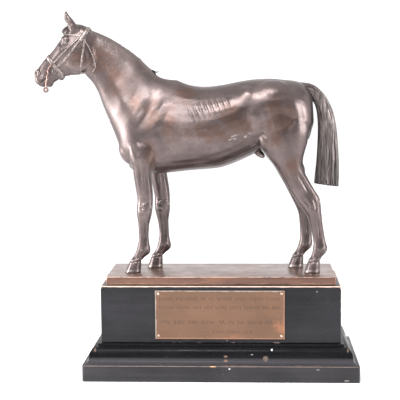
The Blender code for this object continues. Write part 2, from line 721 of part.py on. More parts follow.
def pin_places():
    """Where the four pins stand on the plaque."""
    reach_x = PLAQUE_LENGTH / 2 - PIN_INSET
    reach_z = PLAQUE_HEIGHT / 2 - PIN_INSET
    return [(PLAQUE_SHIFT + sx * reach_x, PLAQUE_MIDDLE + sz * reach_z)
            for sz in (1, -1) for sx in (-1, 1)]


def pin_holes(name, radius, front, back):
    """Four cylinders along Y that make the pins' holes."""
    bm = bmesh.new()
    for x, z in pin_places():
        place = Matrix.Translation((x, (front + back) / 2, z))
        place = place @ Matrix.Rotation(math.radians(90), 4, "X")
        bmesh.ops.create_cone(
            bm, cap_ends=True, segments=PIN_SIDES, radius1=radius, radius2=radius,
            depth=abs(back - front), matrix=place)
    return add_object(name, mesh_from(bm, name), None, CUTTERS)


def plaque():
    """A thin engraved sheet, held on the block's front by its pins."""
    bm = bmesh.new()
    middle = (PLAQUE_SHIFT, PLAQUE_BACK - PLAQUE_THICKNESS / 2, PLAQUE_MIDDLE)
    place = Matrix.Translation(middle)
    size = (PLAQUE_LENGTH, PLAQUE_THICKNESS, PLAQUE_HEIGHT, 1.0)
    bmesh.ops.create_cube(bm, size=1.0, matrix=place @ Matrix.Diagonal(size))
    made = add_object("plaque", mesh_from(bm, "plaque"), PLAQUE_METAL)
    past = 2 * PLAQUE_THICKNESS
    holes = pin_holes(
        "plaque_holes", PIN_SHANK_RADIUS + GAP, PLAQUE_FRONT - past, PLAQUE_BACK + past)
    cut(made, holes)
    return made


def pin(number, x, z):
    """A round-headed pin, turned about its own axis."""
    head_back = PLAQUE_FRONT - GAP
    tip = head_back + PIN_SHANK_LENGTH
    profile = [(0.0, head_back - PIN_HEAD_HEIGHT)]
    for index in range(1, PIN_DOME_PARTS + 1):
        angle = math.radians(90.0 * index / PIN_DOME_PARTS)
        reach = PIN_HEAD_RADIUS * math.sin(angle)
        profile.append((reach, head_back - PIN_HEAD_HEIGHT * math.cos(angle)))
    profile += [(PIN_SHANK_RADIUS, head_back), (PIN_SHANK_RADIUS, tip), (0.0, tip)]
    bm = bmesh.new()
    line = [bm.verts.new((radius, 0.0, -y)) for radius, y in profile]
    for lower, upper in zip(line, line[1:]):
        bm.edges.new((lower, upper))
    mesh = bpy.data.meshes.new("plaque_pin")
    bm.to_mesh(mesh)
    bm.free()
    made = add_object(f"plaque_pin_{number}", mesh, PIN_METAL)
    turn = made.modifiers.new("turned", "SCREW")
    turn.steps = PIN_SIDES
    turn.render_steps = PIN_SIDES
    turn.use_merge_vertices = True
    turn.merge_threshold = 0.00001
    made.rotation_euler = (math.radians(90), 0.0, 0.0)
    made.location = (x, 0.0, z)
    return made


def plinth():
    """Slab, moulding, block, plate, plaque and pins."""
    board("plinth_slab", SLAB_LENGTH, SLAB_DEPTH, 0.0, SLAB_HEIGHT,
          SLAB_WOOD, SLAB_CORNER, SLAB_EDGE)
    moulding()
    block = board("plinth_block", BLOCK_LENGTH, BLOCK_DEPTH, BLOCK_BOTTOM, BLOCK_TOP,
                  EBONISED_WOOD, BLOCK_CORNER, BLOCK_EDGE)
    board("bronze_plate", PLATE_LENGTH, PLATE_DEPTH, PLATE_BOTTOM, PLATE_TOP,
          COPPER_BRONZE, PLATE_CORNER, PLATE_EDGE)
    plaque()
    past = BLOCK_FRONT - PLAQUE_THICKNESS
    depth = PLAQUE_FRONT + PIN_SHANK_LENGTH + GAP
    cut(block, pin_holes("block_holes", PIN_SHANK_RADIUS + GAP, past, depth))
    for number, (x, z) in enumerate(pin_places(), 1):
        pin(number, x, z)


plinth()
horse()
bit_cheek("curb_cheek_near", NEAR_CHEEK, NEAR, NEAR_CHEEK_STAND_OFF)
bit_cheek("curb_cheek_off", OFF_CHEEK, FAR, OFF_CHEEK_STAND_OFF)
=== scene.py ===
# The looks of the horse trophy: bronze patina, ebonised wood, copper plate and plaque.
import math
import random

import bmesh
import bpy
import numpy as np
from mathutils import Matrix, Vector
from mathutils.bvhtree import BVHTree
from mathutils.kdtree import KDTree


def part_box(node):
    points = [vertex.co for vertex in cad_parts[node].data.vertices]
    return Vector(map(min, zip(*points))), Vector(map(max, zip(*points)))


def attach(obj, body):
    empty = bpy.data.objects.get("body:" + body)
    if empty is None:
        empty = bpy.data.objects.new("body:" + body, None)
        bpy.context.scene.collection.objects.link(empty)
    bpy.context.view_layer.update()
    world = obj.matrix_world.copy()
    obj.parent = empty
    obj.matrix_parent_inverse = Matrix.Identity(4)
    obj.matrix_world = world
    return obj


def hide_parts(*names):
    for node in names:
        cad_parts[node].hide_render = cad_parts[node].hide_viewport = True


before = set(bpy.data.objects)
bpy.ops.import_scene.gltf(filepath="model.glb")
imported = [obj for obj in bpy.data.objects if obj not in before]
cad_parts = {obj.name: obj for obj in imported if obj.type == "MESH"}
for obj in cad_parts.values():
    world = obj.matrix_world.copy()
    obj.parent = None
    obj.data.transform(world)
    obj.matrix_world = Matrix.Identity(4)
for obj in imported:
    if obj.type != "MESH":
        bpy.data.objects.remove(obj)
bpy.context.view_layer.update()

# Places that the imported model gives
HORSE_LOW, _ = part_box("horse")
PLATE_LOW, PLATE_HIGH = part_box("bronze_plate")
BLOCK_LOW, BLOCK_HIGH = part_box("plinth_block")
MOULDING_LOW, MOULDING_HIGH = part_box("plinth_moulding")
SLAB_LOW, SLAB_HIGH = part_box("plinth_slab")
PLAQUE_LOW, PLAQUE_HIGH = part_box("plaque")
MM = 0.001
# A wooden piece's marks lie only where it looks forwards, from and to along Y
FRONT_FACES = (-0.032, -0.030)

# The horse is shaped in thousandths of a metre from the soles and its middle plane
UNIT = MM
SET_BACK = 0.003
SOLES = HORSE_LOW.z
VOXEL = 0.0008
SMOOTH_ROUNDS = 48
FINER_LEVELS = 1
CASTING_TRIANGLES = 192000


def in_place(x, y, z):
    """A point of the horse in the trophy's frame."""
    return Vector((x * UNIT, y * UNIT + SET_BACK, z * UNIT + SOLES))


# Pieces

def placed(name, data):
    """A new object in the scene."""
    made = bpy.data.objects.new(name, data)
    bpy.context.scene.collection.objects.link(made)
    return made


def dress(mesh, finish):
    """Give a mesh one material."""
    mesh.materials.clear()
    mesh.materials.append(finish)


def piece(name, mesh, finish, replaced=()):
    """A finished piece that rides on the trophy."""
    made = placed(name, mesh)
    dress(mesh, finish)
    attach(made, "root")
    if replaced:
        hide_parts(*replaced)


def mesh_from(bm, name, sharp_angle=None):
    """Turn a bmesh into a smooth mesh whose faces point outwards."""
    bmesh.ops.recalc_face_normals(bm, faces=bm.faces)
    mesh = bpy.data.meshes.new(name)
    bm.to_mesh(mesh)
    bm.free()
    mesh.shade_smooth()
    if sharp_angle is not None:
        mesh.set_sharp_from_angle(angle=math.radians(sharp_angle))
    return mesh


def gathered(name, shells):
    """One mesh of many closed shells."""
    bm = bmesh.new()
    for shell in shells:
        part = mesh_from(shell, "shell")
        bm.from_mesh(part)
        bpy.data.meshes.remove(part)
    mesh = bpy.data.meshes.new(name)
    bm.to_mesh(mesh)
    bm.free()
    mesh.shade_smooth()
    return mesh


def with_modifier(mesh, kind, **values):
    """The mesh as one modifier leaves it."""
    holder = placed("shaping", mesh)
    step = holder.modifiers.new("step", kind)
    for name, value in values.items():
        setattr(step, name, value)
    graph = bpy.context.evaluated_depsgraph_get()
    made = bpy.data.meshes.new_from_object(holder.evaluated_get(graph))
    bpy.data.objects.remove(holder, do_unlink=True)
    return made


# Finishes

class Finish:
    """A Principled material and the nodes that vary it."""

    def __init__(self, name, roughness, metallic, coat=0.0, coat_roughness=0.3, specular=0.5):
        self.material = bpy.data.materials.new(name)
        self.material.use_nodes = True
        self.tree = self.material.node_tree
        self.shader = self.tree.nodes["Principled BSDF"]
        for socket, value in (("Roughness", roughness), ("Metallic", metallic),
                              ("Coat Weight", coat), ("Coat Roughness", coat_roughness),
                              ("Specular IOR Level", specular)):
            self.shader.inputs[socket].default_value = value
        self.place = self.node("ShaderNodeTexCoord").outputs["Object"]

    def node(self, kind, inputs=None, **values):
        """A new node with its settings, and its inputs linked or set."""
        made = self.tree.nodes.new(kind)
        for name, value in values.items():
            setattr(made, name, value)
        for name, value in (inputs or {}).items():
            self.put(value, made.inputs[name])
        return made

    def put(self, value, socket):
        """Link an output, or set a plain value."""
        if isinstance(value, bpy.types.NodeSocket):
            self.tree.links.new(value, socket)
        elif isinstance(value, tuple) and len(value) == 3 and len(socket.default_value) == 4:
            socket.default_value = (*value, 1.0)
        else:
            socket.default_value = value

    def stretched(self, scale):
        inputs = {"Vector": self.place, "Scale": scale}
        return self.node("ShaderNodeMapping", inputs).outputs["Vector"]

    def noise(self, scale, detail=3.0, roughness=0.55, stretch=None):
        vector = self.stretched(stretch) if stretch else self.place
        inputs = {"Vector": vector, "Scale": scale, "Detail": detail, "Roughness": roughness}
        return self.node("ShaderNodeTexNoise", inputs).outputs["Fac"]

    def cells(self, scale):
        inputs = {"Vector": self.place, "Scale": scale}
        return self.node("ShaderNodeTexVoronoi", inputs).outputs["Distance"]

    def between(self, value, low, high, to_low=0.0, to_high=1.0, kind="SMOOTHSTEP"):
        """Move a value from one range to another, and hold it there."""
        inputs = {"Value": value, "From Min": low, "From Max": high,
                  "To Min": to_low, "To Max": to_high}
        return self.node("ShaderNodeMapRange", inputs, interpolation_type=kind).outputs["Result"]

    def maths(self, operation, *values):
        """An operation on one or two values, and on further ones in turn."""
        made = self.node("ShaderNodeMath", dict(enumerate(values[:2])), operation=operation)
        result = made.outputs["Value"]
        return self.maths(operation, result, *values[2:]) if len(values) > 2 else result

    def axes(self):
        return tuple(self.node("ShaderNodeSeparateXYZ", {"Vector": self.place}).outputs)

    def mix(self, share, first, second):
        inputs = {"Factor": share, 6: first, 7: second}
        return self.node("ShaderNodeMix", inputs, data_type="RGBA").outputs[2]

    def painted(self, name):
        return self.node("ShaderNodeAttribute", attribute_name=name).outputs["Fac"]

    def ground(self, value, low, high, darker, lighter):
        """The base colour, between two colours."""
        self.base = self.mix(self.between(value, low, high), darker, lighter)

    def tint(self, colour, share, *limits):
        """Lay a colour over the base, by a share or by a value's place in its range."""
        self.base = self.mix(self.between(share, *limits) if limits else share, self.base, colour)

    def roughness(self, value, low, high):
        """Vary the roughness with a noise."""
        self.put(self.between(value, 0.3, 0.7, low, high), self.shader.inputs["Roughness"])

    def bump(self, height, strength, distance):
        """Add relief over what is there."""
        inputs = {"Strength": strength, "Distance": distance, "Height": height}
        made = self.node("ShaderNodeBump", inputs)
        chain = self.shader.inputs["Normal"]
        if chain.is_linked:
            self.put(chain.links[0].from_socket, made.inputs["Normal"])
        self.put(made.outputs["Normal"], chain)

    def finished(self):
        self.put(self.base, self.shader.inputs["Base Color"])
        return self.material

    def edge_distance(self, low, high):
        """How far a point of a box's surface is from the nearest edge."""
        gaps = []
        for axis, bottom, top in zip(self.axes(), low, high):
            spread = self.maths("ABSOLUTE", self.maths("SUBTRACT", axis, (bottom + top) / 2))
            gaps.append(self.maths("SUBTRACT", (top - bottom) / 2, spread))
        total, least, most = (self.maths(kind, *gaps) for kind in ("ADD", "MINIMUM", "MAXIMUM"))
        return self.maths("SUBTRACT", total, least, most)

    def ragged(self, value, scale, reach):
        """A distance whose line wanders by up to the reach."""
        wander = self.between(self.noise(scale, 5.0, 0.65), 0.28, 0.72, -reach, reach, "LINEAR")
        return self.maths("ADD", value, wander)

    def rim(self, scale, to_level, to_upright, *limits):
        """How much a point belongs to the ragged rim along two edges."""
        gaps = [self.ragged(self.maths("SUBTRACT", *gap), scale, 0.0005)
                for gap in (to_level, to_upright)]
        return self.between(self.maths("MINIMUM", *gaps), *limits)

    def spot(self, x, z, half_length, half_height):
        """How far a front point lies inside a small oval mark, from 0 to 1."""
        here_x, here_y, here_z = self.axes()
        squares = []
        for here, middle, half in ((here_x, x, half_length), (here_z, z, half_height)):
            off = self.maths("DIVIDE", self.maths("SUBTRACT", here, middle * MM), half * MM)
            squares.append(self.maths("MULTIPLY", off, off))
        off = self.ragged(self.maths("SQRT", self.maths("ADD", *squares)), 1400.0, 0.25)
        front = self.between(here_y, *FRONT_FACES, 1.0, 0.0)
        return self.maths("MULTIPLY", self.between(off, 0.7, 1.1, 1.0, 0.0), front)


def patina():
    """Silvery brown bronze with painted highlights on the ridges, pale scuffs, painted shade in
    the hollows, and red brown where the silvering has gone."""
    made = Finish("silvered_bronze", 0.36, 0.88, coat=0.10, coat_roughness=0.28)
    made.ground(made.noise(45.0, 4.0), 0.34, 0.68, (0.098, 0.076, 0.075), (0.152, 0.119, 0.115))
    drift = made.between(made.noise(120.0, 8.0, 0.74), 0.25, 0.75, -0.55, 0.55)
    patches = made.maths("ADD", made.painted("brown"), drift)
    made.tint((0.100, 0.057, 0.045), patches, 0.10, 1.15, 0.0, 0.9)
    mottle = made.between(made.noise(520.0, 4.0, 0.7), 0.40, 0.68)
    made.tint((0.085, 0.066, 0.063), made.maths("MULTIPLY", mottle, 0.40))
    # Painted shade: darker in the hollows, beside the pieces on the head, and on the off legs
    made.tint((0.030, 0.023, 0.022), made.painted("painted_shade"), 0.12, 1.0, 0.0, 0.85)
    # Painted highlight on the ridges and the head, a paler crest, and pale scuffs
    made.tint((0.36, 0.31, 0.29), made.painted("painted_sheen_and_scuffs"), 0.1, 1.0, 0.0, 0.7)
    made.roughness(made.noise(60.0, 4.0), 0.30, 0.40)
    made.bump(made.noise(950.0, 3.0), 0.18, 0.0004)
    made.bump(made.noise(240.0, 4.0, 0.62), 0.14, 0.0009)
    return made.finished()


def hair_bronze():
    """The tail and mane, with painted shade between the strands, and darker at the tail's end."""
    made = Finish("hair_bronze", 0.40, 0.86, coat=0.10, coat_roughness=0.34)
    streaks = made.noise(420.0, 3.0, 0.6, (1.0, 1.0, 0.10))
    made.ground(streaks, 0.35, 0.66, (0.083, 0.069, 0.067), (0.29, 0.248, 0.235))
    z = made.axes()[2]
    made.tint((0.070, 0.062, 0.064), z, SOLES + 0.080, SOLES + 0.135, 0.70, 0.0)
    # Painted shade between the strands, on each strand's sides and underside
    made.tint((0.016, 0.013, 0.013), made.painted("depth"), 0.12, 0.75, 0.0, 0.94)
    made.roughness(streaks, 0.44, 0.30)
    made.bump(streaks, 0.2, 0.0003)
    return made.finished()


def strap_bronze():
    """The bridle's straps, paler on their faces with painted shade on their sides and undersides.
    """
    made = Finish("strap_bronze", 0.40, 0.86, coat=0.10)
    made.ground(made.noise(300.0, 4.0), 0.36, 0.68, (0.15, 0.122, 0.115), (0.29, 0.245, 0.228))
    # Painted shade on the straps' and rings' sides and undersides
    made.tint((0.045, 0.034, 0.032), made.painted("depth"), 0.45, 1.0, 0.0, 0.85)
    made.bump(made.noise(900.0, 3.0), 0.15, 0.0003)
    return made.finished()


def rubbed_copper(name, low_colour, high_colour, roughness):
    """Small pinkish metal rubbed bright."""
    made = Finish(name, roughness, 0.92)
    made.ground(made.noise(520.0, 3.0), 0.35, 0.7, low_colour, high_colour)
    made.bump(made.noise(1500.0, 2.0), 0.08, 0.0002)
    return made.finished()


def plate_copper():
    """The plate: mauve brown copper with brighter, rubbed edges."""
    made = Finish("plate_copper", 0.38, 0.88, coat=0.55, coat_roughness=0.26)
    made.ground(made.noise(32.0, 5.0, 0.6), 0.34, 0.68,
                (0.135, 0.065, 0.048), (0.178, 0.085, 0.059))
    smear = made.noise(95.0, 4.0, 0.6, (0.22, 1.0, 1.0))
    made.tint((0.33, 0.155, 0.085), smear, 0.52, 0.72, 0.0, 0.55)
    foot = made.ragged(made.maths("SUBTRACT", made.axes()[2], PLATE_LOW.z), 170.0, 0.0005)
    bright = made.between(made.noise(22.0, 2.0), 0.36, 0.56, 0.25, 0.85)
    rubbed = made.maths("MULTIPLY", made.between(foot, 0.0007, 0.0019, 1.0, 0.0), bright)
    made.tint((0.55, 0.295, 0.19), rubbed)
    edge = made.ragged(made.edge_distance(PLATE_LOW, PLATE_HIGH), 190.0, 0.0004)
    made.tint((0.66, 0.45, 0.36), edge, 0.0001, 0.0007, 0.75, 0.0)
    made.tint((0.11, 0.075, 0.070), made.noise(900.0, 3.0), 0.42, 0.75, 0.0, 0.35)
    made.roughness(made.noise(75.0, 4.0), 0.34, 0.50)
    made.bump(made.noise(700.0, 3.0), 0.12, 0.0003)
    return made.finished()


def black_wood(name, low, high, base_colour, wear_colour, wear_width, gloss=0.40, top_line=0.0,
               marks=(), grain_bump=0.12, specular=0.36, painted_foot_light=None):
    """Ebonised wood with a faint grain, worn edges, pale specks and placed marks."""
    made = Finish(name, gloss, 0.0, specular=specular)
    darker, lighter = (tuple(c * part for c in base_colour) for part in (0.55, 1.7))
    grain = made.noise(150.0, 5.0, 0.6, (0.05, 1.0, 1.0))
    made.ground(grain, 0.35, 0.68, darker, base_colour)
    made.tint(lighter, made.noise(18.0, 3.0), 0.40, 0.70, 0.0, 0.35)
    z = made.axes()[2]
    # Painted light: the foot's upward-facing flare is made lighter
    if painted_foot_light:
        made.tint(painted_foot_light, z, low.z + 0.0040, low.z + 0.0060, 1.0, 0.0)
    made.tint((0.16, 0.155, 0.16), made.noise(1900.0, 2.0), 0.64, 0.74, 0.0, 0.30)
    gap = made.edge_distance(low, high)
    gone = made.between(made.noise(34.0, 3.0), 0.50, 0.66)
    edge = made.ragged(gap, 260.0, wear_width)
    worn = made.between(edge, wear_width * 0.1, wear_width * 0.7, 1.0, 0.0)
    made.tint(wear_colour, made.maths("MULTIPLY", worn, gone))
    if top_line:
        arris = made.ragged(gap, 120.0, top_line * 0.30)
        line = made.between(arris, top_line * 0.55, top_line * 1.25, 1.0, 0.0)
        upper = made.between(z, high.z - 0.003, high.z - 0.002)
        made.tint(wear_colour, made.maths("MULTIPLY", line, upper))
    chips = made.between(made.cells(95.0), 0.020, 0.045, 1.0, 0.0)
    chosen = made.between(made.noise(31.0, 2.0), 0.58, 0.66)
    made.tint((0.40, 0.36, 0.34), made.maths("MULTIPLY", chips, chosen, 0.35))
    for *place_and_size, colour in marks:
        made.tint(colour, made.spot(*place_and_size))
    made.roughness(made.noise(60.0, 4.0), gloss - 0.06, gloss + 0.08)
    made.bump(grain, grain_bump, 0.0004)
    made.bump(made.noise(1100.0, 2.0), 0.08, 0.0002)
    return made.finished()


def plaque_copper():
    """The plaque: brown copper with rubbed orange clouds, a ragged pale rim and
    darkened strokes."""
    made = Finish("plaque_copper", 0.44, 0.80)
    cloud = made.noise(34.0, 5.0, 0.6, (0.6, 1.0, 1.0))
    made.ground(cloud, 0.38, 0.66, (0.164, 0.096, 0.064), (0.195, 0.112, 0.074))
    x, _, z = made.axes()
    glow = made.between(made.noise(40.0, 4.0, 0.6, (0.7, 1.0, 1.2)), 0.50, 0.66, 0.0, 0.75)
    slant = made.maths("SUBTRACT", x, made.maths("MULTIPLY", z, 1.6))
    lower_right = made.between(slant, -0.085, -0.025)
    made.tint((0.34, 0.160, 0.092), made.maths("MULTIPLY", glow, lower_right))
    made.tint((0.42, 0.36, 0.32), made.rim(300.0, (PLAQUE_HIGH.z, z), (x, PLAQUE_LOW.x),
                                           0.0002, 0.0011, 0.85, 0.0))
    made.tint((0.42, 0.22, 0.14), made.rim(260.0, (z, PLAQUE_LOW.z), (PLAQUE_HIGH.x, x),
                                           0.0002, 0.0013, 0.75, 0.0))
    made.tint((0.07, 0.046, 0.040), made.painted("stroke"), 0.1, 0.9, 0.0, 0.75)
    brushed = made.noise(900.0, 3.0, 0.6, (0.04, 1.0, 1.0))
    made.roughness(brushed, 0.40, 0.52)
    made.bump(brushed, 0.10, 0.0002)
    return made.finished()


# Loft: closed cross-sections bridged one to the next

RING_SIDES = 32
RING_PARTS = 24
BAND_PARTS = 56
NEAR, FAR = -1.0, 1.0
BOTH = (NEAR, FAR)


def signed_power(value, power):
    """Raise a signed number's size to a power."""
    return math.copysign(abs(value) ** power, value)


def section_point(row, y_middle, across, along):
    """A point of a row's cross-section, for a point of the unit circle. A row is
    the upper point's x and z in the side view, the lower point's x and z, the half
    width, where it is widest as a share up from the lower point, and how square
    its upper and lower halves are."""
    top_x, top_z, low_x, low_z, half_width, widest, upper, lower = row
    top = Vector((top_x, y_middle, top_z))
    low = Vector((low_x, y_middle, low_z))
    waist = low.lerp(top, widest)
    squareness = upper if along > 0 else lower
    reach = (top if along > 0 else low) - waist
    place = waist + reach * abs(along) ** (2.0 / squareness)
    place.y += half_width * signed_power(across, 2.0 / squareness)
    return place


def ring_edges(ring):
    return list({edge for vert in ring for edge in vert.link_edges})


def section(bm, row, y_middle):
    """One cross-section as a ring of edges."""
    ring = bmesh.ops.create_circle(bm, segments=RING_SIDES, radius=1.0)["verts"]
    for vert in ring:
        vert.co = section_point(row, y_middle, vert.co.x, vert.co.y)
    return ring_edges(ring)


def smooth_rows(rows, steps):
    """Rows that run smoothly through the given ones."""
    rows = np.array(rows, dtype=float)
    rows = np.vstack([2 * rows[0] - rows[1], rows, 2 * rows[-1] - rows[-2]])
    result = []
    for index in range(1, len(rows) - 2):
        a, b, c, d = rows[index - 1:index + 3]
        for t in np.arange(steps) / steps:
            bend = 2 * a - 5 * b + 4 * c - d
            twist = 3 * b - a - 3 * c + d
            result.append(b + 0.5 * t * ((c - a) + t * (bend + t * twist)))
    result.append(rows[-2])
    return result


def bridged(bm, rings, closed=False):
    """Join rings of edges into one closed shell, or into an endless band."""
    for ring, following in zip(rings, rings[1:]):
        bmesh.ops.bridge_loops(bm, edges=ring + following)
    if closed:
        bmesh.ops.bridge_loops(bm, edges=rings[-1] + rings[0])
        return
    for end in (rings[0], rings[-1]):
        bmesh.ops.contextual_create(bm, geom=end)


def loft(bm, rows, y_middle=0.0, steps=3):
    """Bridge smooth cross-sections and close both ends."""
    bridged(bm, [section(bm, row, y_middle) for row in smooth_rows(rows, steps)])


# The horse's rows: the same form as the solid

TRUNK = [
    (-89, 140, -90.5, 112, 9, 0.48, 2, 2), (-85, 151, -87, 101, 15.5, 0.45, 1.9, 2.1),
    (-77, 162, -79.5, 92.5, 19.5, 0.46, 1.75, 2.2), (-66, 168, -68, 88.2, 21.5, 0.48, 1.55, 2.2),
    (-54, 172.3, -55, 87, 22.5, 0.5, 1.45, 2.2), (-42, 171, -42, 87.9, 24, 0.5, 1.55, 2.1),
    (-28, 165.7, -28, 89.4, 26.2, 0.5, 1.8, 2.05),
    (-14, 163.7, -14, 90.4, 27.5, 0.51, 1.95, 2.05), (0, 165, 0, 92, 28, 0.52, 2, 2.05),
    (14, 167.6, 14, 96.8, 27.2, 0.54, 2, 2), (28, 169.8, 28, 103.2, 26, 0.58, 2.05, 2),
    (42, 170.5, 42, 111, 26, 0.6, 2.1, 2), (56, 169.4, 57, 113, 25.5, 0.58, 2.1, 2.2),
    (68, 167.8, 70.5, 114, 22.5, 0.54, 2, 2.4), (76, 163, 79, 117, 17.5, 0.5, 2, 2.4),
    (80.6, 157, 82.4, 126, 9.5, 0.5, 2, 2.2),
]

NECK = [
    (-44, 168, -76, 98, 19, 0.42, 1.6, 2.2), (-54, 174.6, -88.5, 109, 18.5, 0.42, 1.6, 2.2),
    (-63.5, 181.4, -95.6, 123, 15.6, 0.42, 1.6, 2.1), (-71, 188.9, -99.6, 135, 13, 0.42, 1.6, 2),
    (-78, 194.6, -103.1, 143.7, 11, 0.42, 1.6, 2), (-87, 200.8, -106, 151.6, 9.7, 0.42, 1.6, 2),
    (-96, 206.4, -108.4, 158.5, 8.9, 0.42, 1.6, 2),
    (-105, 210.8, -112.6, 166.5, 8.6, 0.42, 1.65, 2), (-114, 214.4, -120, 175, 8.2, 0.45, 1.7, 2),
]

HEAD = [
    (-117.5, 217.4, -108, 203, 5, 0.5, 2, 2), (-126, 219.7, -109.5, 192, 8, 0.48, 2, 2),
    (-133.6, 215.5, -113, 182.2, 9.2, 0.5, 2.1, 2),
    (-139, 209.4, -118, 177.2, 9.8, 0.6, 2.3, 1.8),
    (-143.8, 203.1, -125, 175.2, 9, 0.66, 2.5, 1.7),
    (-148.2, 197.2, -132, 174.7, 7.2, 0.68, 2.5, 1.7),
    (-152.5, 192.6, -138, 173.5, 5.9, 0.68, 2.4, 1.7),
    (-156.8, 188.2, -143.5, 171.2, 5.1, 0.62, 2.3, 1.8),
    (-160.9, 183.3, -148.5, 168.2, 4.8, 0.54, 2.1, 2),
    (-164.5, 178.2, -152.5, 165.8, 5.1, 0.5, 2.1, 2.1),
    (-165.9, 173, -156.3, 164.4, 4.9, 0.5, 2.1, 2.1),
    (-164.6, 168, -159.8, 164.8, 3.4, 0.5, 2, 2),
]

ROUND = (0.5, 2, 2)
EAR = [(*row, *ROUND) for row in (
    (-132.5, 211.5, -123.5, 214.5, 3.4), (-133.6, 216, -126, 218.4, 3.3),
    (-135.4, 221, -129, 222.8, 3), (-137.2, 225.5, -132.4, 226.8, 2.4),
    (-136.9, 229.3, -134.5, 229.8, 1.4), (-135.6, 231.8, -134.9, 231.8, 0.5))]
EAR_SPREAD = 4.8
FAR_EAR_BASE = (2, -1.5)
FAR_EAR_TIP = (-3.2, -3)

FORELOCK = [(*row, *ROUND) for row in (
    (-126, 219.3, -126, 214, 2.6), (-131, 219, -130, 213.4, 2.9),
    (-135.4, 218.2, -133.8, 212.2, 2.7), (-138.6, 216.2, -136.8, 211.4, 2.3),
    (-140.8, 213.4, -139.4, 210.8, 1.2))]
FORELOCK_SHIFT = 1.0

TAIL = [
    (70, 167.3, 70, 155, 5, 0.5, 2, 2), (77, 166, 75, 155.6, 4.8, 0.5, 2, 2),
    (84, 162.6, 79.2, 153.4, 4.5, 0.5, 2, 2), (90.3, 156.4, 83, 149.2, 4.6, 0.5, 2, 2),
    (95.2, 148.4, 85.3, 142.8, 5, 0.5, 2, 2), (99, 138.8, 86.4, 134, 5.6, 0.5, 2.1, 2.1),
    (101.6, 126, 86.8, 124, 6.2, 0.5, 2.2, 2.2), (103, 111, 86.3, 110.5, 6.6, 0.5, 2.3, 2.3),
    (103.9, 96, 85.4, 96.5, 6.8, 0.5, 2.4, 2.4), (104.2, 84, 84.3, 85.5, 6.6, 0.5, 2.4, 2.4),
    (104, 74.9, 83.5, 77.6, 6.2, 0.5, 2.4, 2.4),
]

# Leg rows: height, front, back, half width
FORE_LEG = [
    (122, -80, -56, 5), (112, -82, -54.5, 8), (101, -80.4, -57, 8.8), (92.9, -77.6, -60.4, 8),
    (85.8, -76.8, -61.2, 7.2), (78.7, -75.8, -60.6, 6.6), (71.6, -74.7, -60, 5.8),
    (64.5, -73.8, -59.9, 5.2), (59.5, -74.2, -60.2, 5.6), (53.7, -74.6, -60.8, 5.7),
    (48.5, -74.2, -61.9, 4.9), (43, -73.5, -63.4, 3.8), (34, -73.1, -64.1, 3.2),
    (28.6, -73.3, -64, 3.3), (24, -74.1, -63.4, 4), (20, -75.2, -62.6, 4.4),
    (16.4, -76.6, -63.9, 3.8), (13, -78.8, -68.4, 3.5), (10.8, -80.6, -70.6, 4.6),
    (9.2, -81.6, -70.9, 5.2), (5, -83.6, -71.3, 5.9), (-1.5, -86.5, -72, 6.6),
]

HIND_LEG = [
    (146, 48, 70, 6), (135, 40, 77, 10), (124, 36, 78.6, 12.2), (113, 35.3, 75.8, 11.8),
    (103, 40.6, 73, 10.2), (95.9, 46.1, 72.2, 8.8), (90.6, 50, 73, 7.6), (85.3, 53, 75.4, 6.6),
    (78.2, 57.2, 79.3, 5.4), (71.1, 61.5, 83.6, 4.6), (66.5, 64.6, 86.6, 4.8),
    (61.5, 68, 87.8, 5.4), (55, 72.7, 88.4, 5.3), (49, 76.4, 89, 4.5), (40.1, 79, 90.1, 3.5),
    (32, 80.8, 91.5, 3.3), (26.5, 81.6, 92.6, 3.7), (22, 81.4, 93.9, 4.5),
    (18.2, 80.9, 93.4, 4.3), (14.6, 79.7, 90.4, 3.7), (11.8, 78.2, 88, 4.1), (9.8, 77, 87.6, 5.1),
    (5, 75.3, 87.8, 6), (-1.5, 73, 87.6, 6.6),
]

FORE_SPREAD = 13.8
HIND_SPREAD = 13.8
# How far along the far legs stand from the near ones, by height
FAR_FORE_STEP = ((0, 17.6), (12, 16.5), (35, 15.8), (58, 13.2), (118, 10))
FAR_HIND_STEP = ((0, -13.8), (12, -13.2), (35, -9.4), (50, -6.8), (60, -4.2), (74, -1.8))

# Masses of muscle and bone: centre, radii, tilt
MASSES = [
    ((-73, 9.5, 135), (12, 10, 27), 32), ((-60, 11, 126), (15, 10.5, 20), 20),
    ((-82, 8.5, 119), (8.5, 8, 11), 20), ((-82, 6, 107), (8, 7.5, 12), -20),
    ((-68, 12.6, 101), (11, 8.2, 15), -10), ((24, 12.4, 152.5), (12, 11.8, 12), 0),
    ((46, 9.5, 152), (24, 15.5, 17), 0), ((52, 12, 132), (22, 14, 28), -14),
    ((41.5, 13.5, 116), (9, 9.4, 13), -25), ((67, 9.5, 137), (13, 11.5, 26), 8),
    ((61, 12.9, 95), (10.5, 8.2, 17), -38), ((-125.5, 4.6, 189), (13, 5, 12.5), 0),
    ((-135.5, 4.8, 205), (5.5, 4.8, 4.6), 40), ((-162.4, 2.9, 176.6), (3.2, 2.6, 3.8), 20),
]
MIDDLE_MASSES = [
    ((-70, 0, 96), (13, 8, 8), 0), ((33.5, 0, 105), (3.2, 2.8, 7), -50),
    ((-152.8, 0, 167.7), (3.9, 3.6, 3.4), 0), ((-141.6, 0, 172.2), (2.2, 3.4, 2), 25),
]


def far_shift(height, step):
    """How far along the far leg stands at a height."""
    heights, shifts = zip(*step)
    return float(np.interp(height, heights, shifts))


def leg(bm, rows, spread, side, step):
    """One leg. The far one's rows are moved along by its step at their height."""
    sections = []
    for height, front, back, half_width in rows:
        shift = far_shift(height, step) if side == FAR else 0.0
        ends = (front + shift, height, back + shift, height)
        sections.append((*ends, half_width, 0.5, 2.2, 2.2))
    loft(bm, sections, side * spread)


def ear(bm, side):
    """One ear. The far one leans further forward."""
    rows = np.array(EAR)
    if side == FAR:
        lean = np.linspace(FAR_EAR_BASE, FAR_EAR_TIP, len(rows))
        rows[:, 0:2] += lean
        rows[:, 2:4] += lean
    loft(bm, rows, side * EAR_SPREAD)


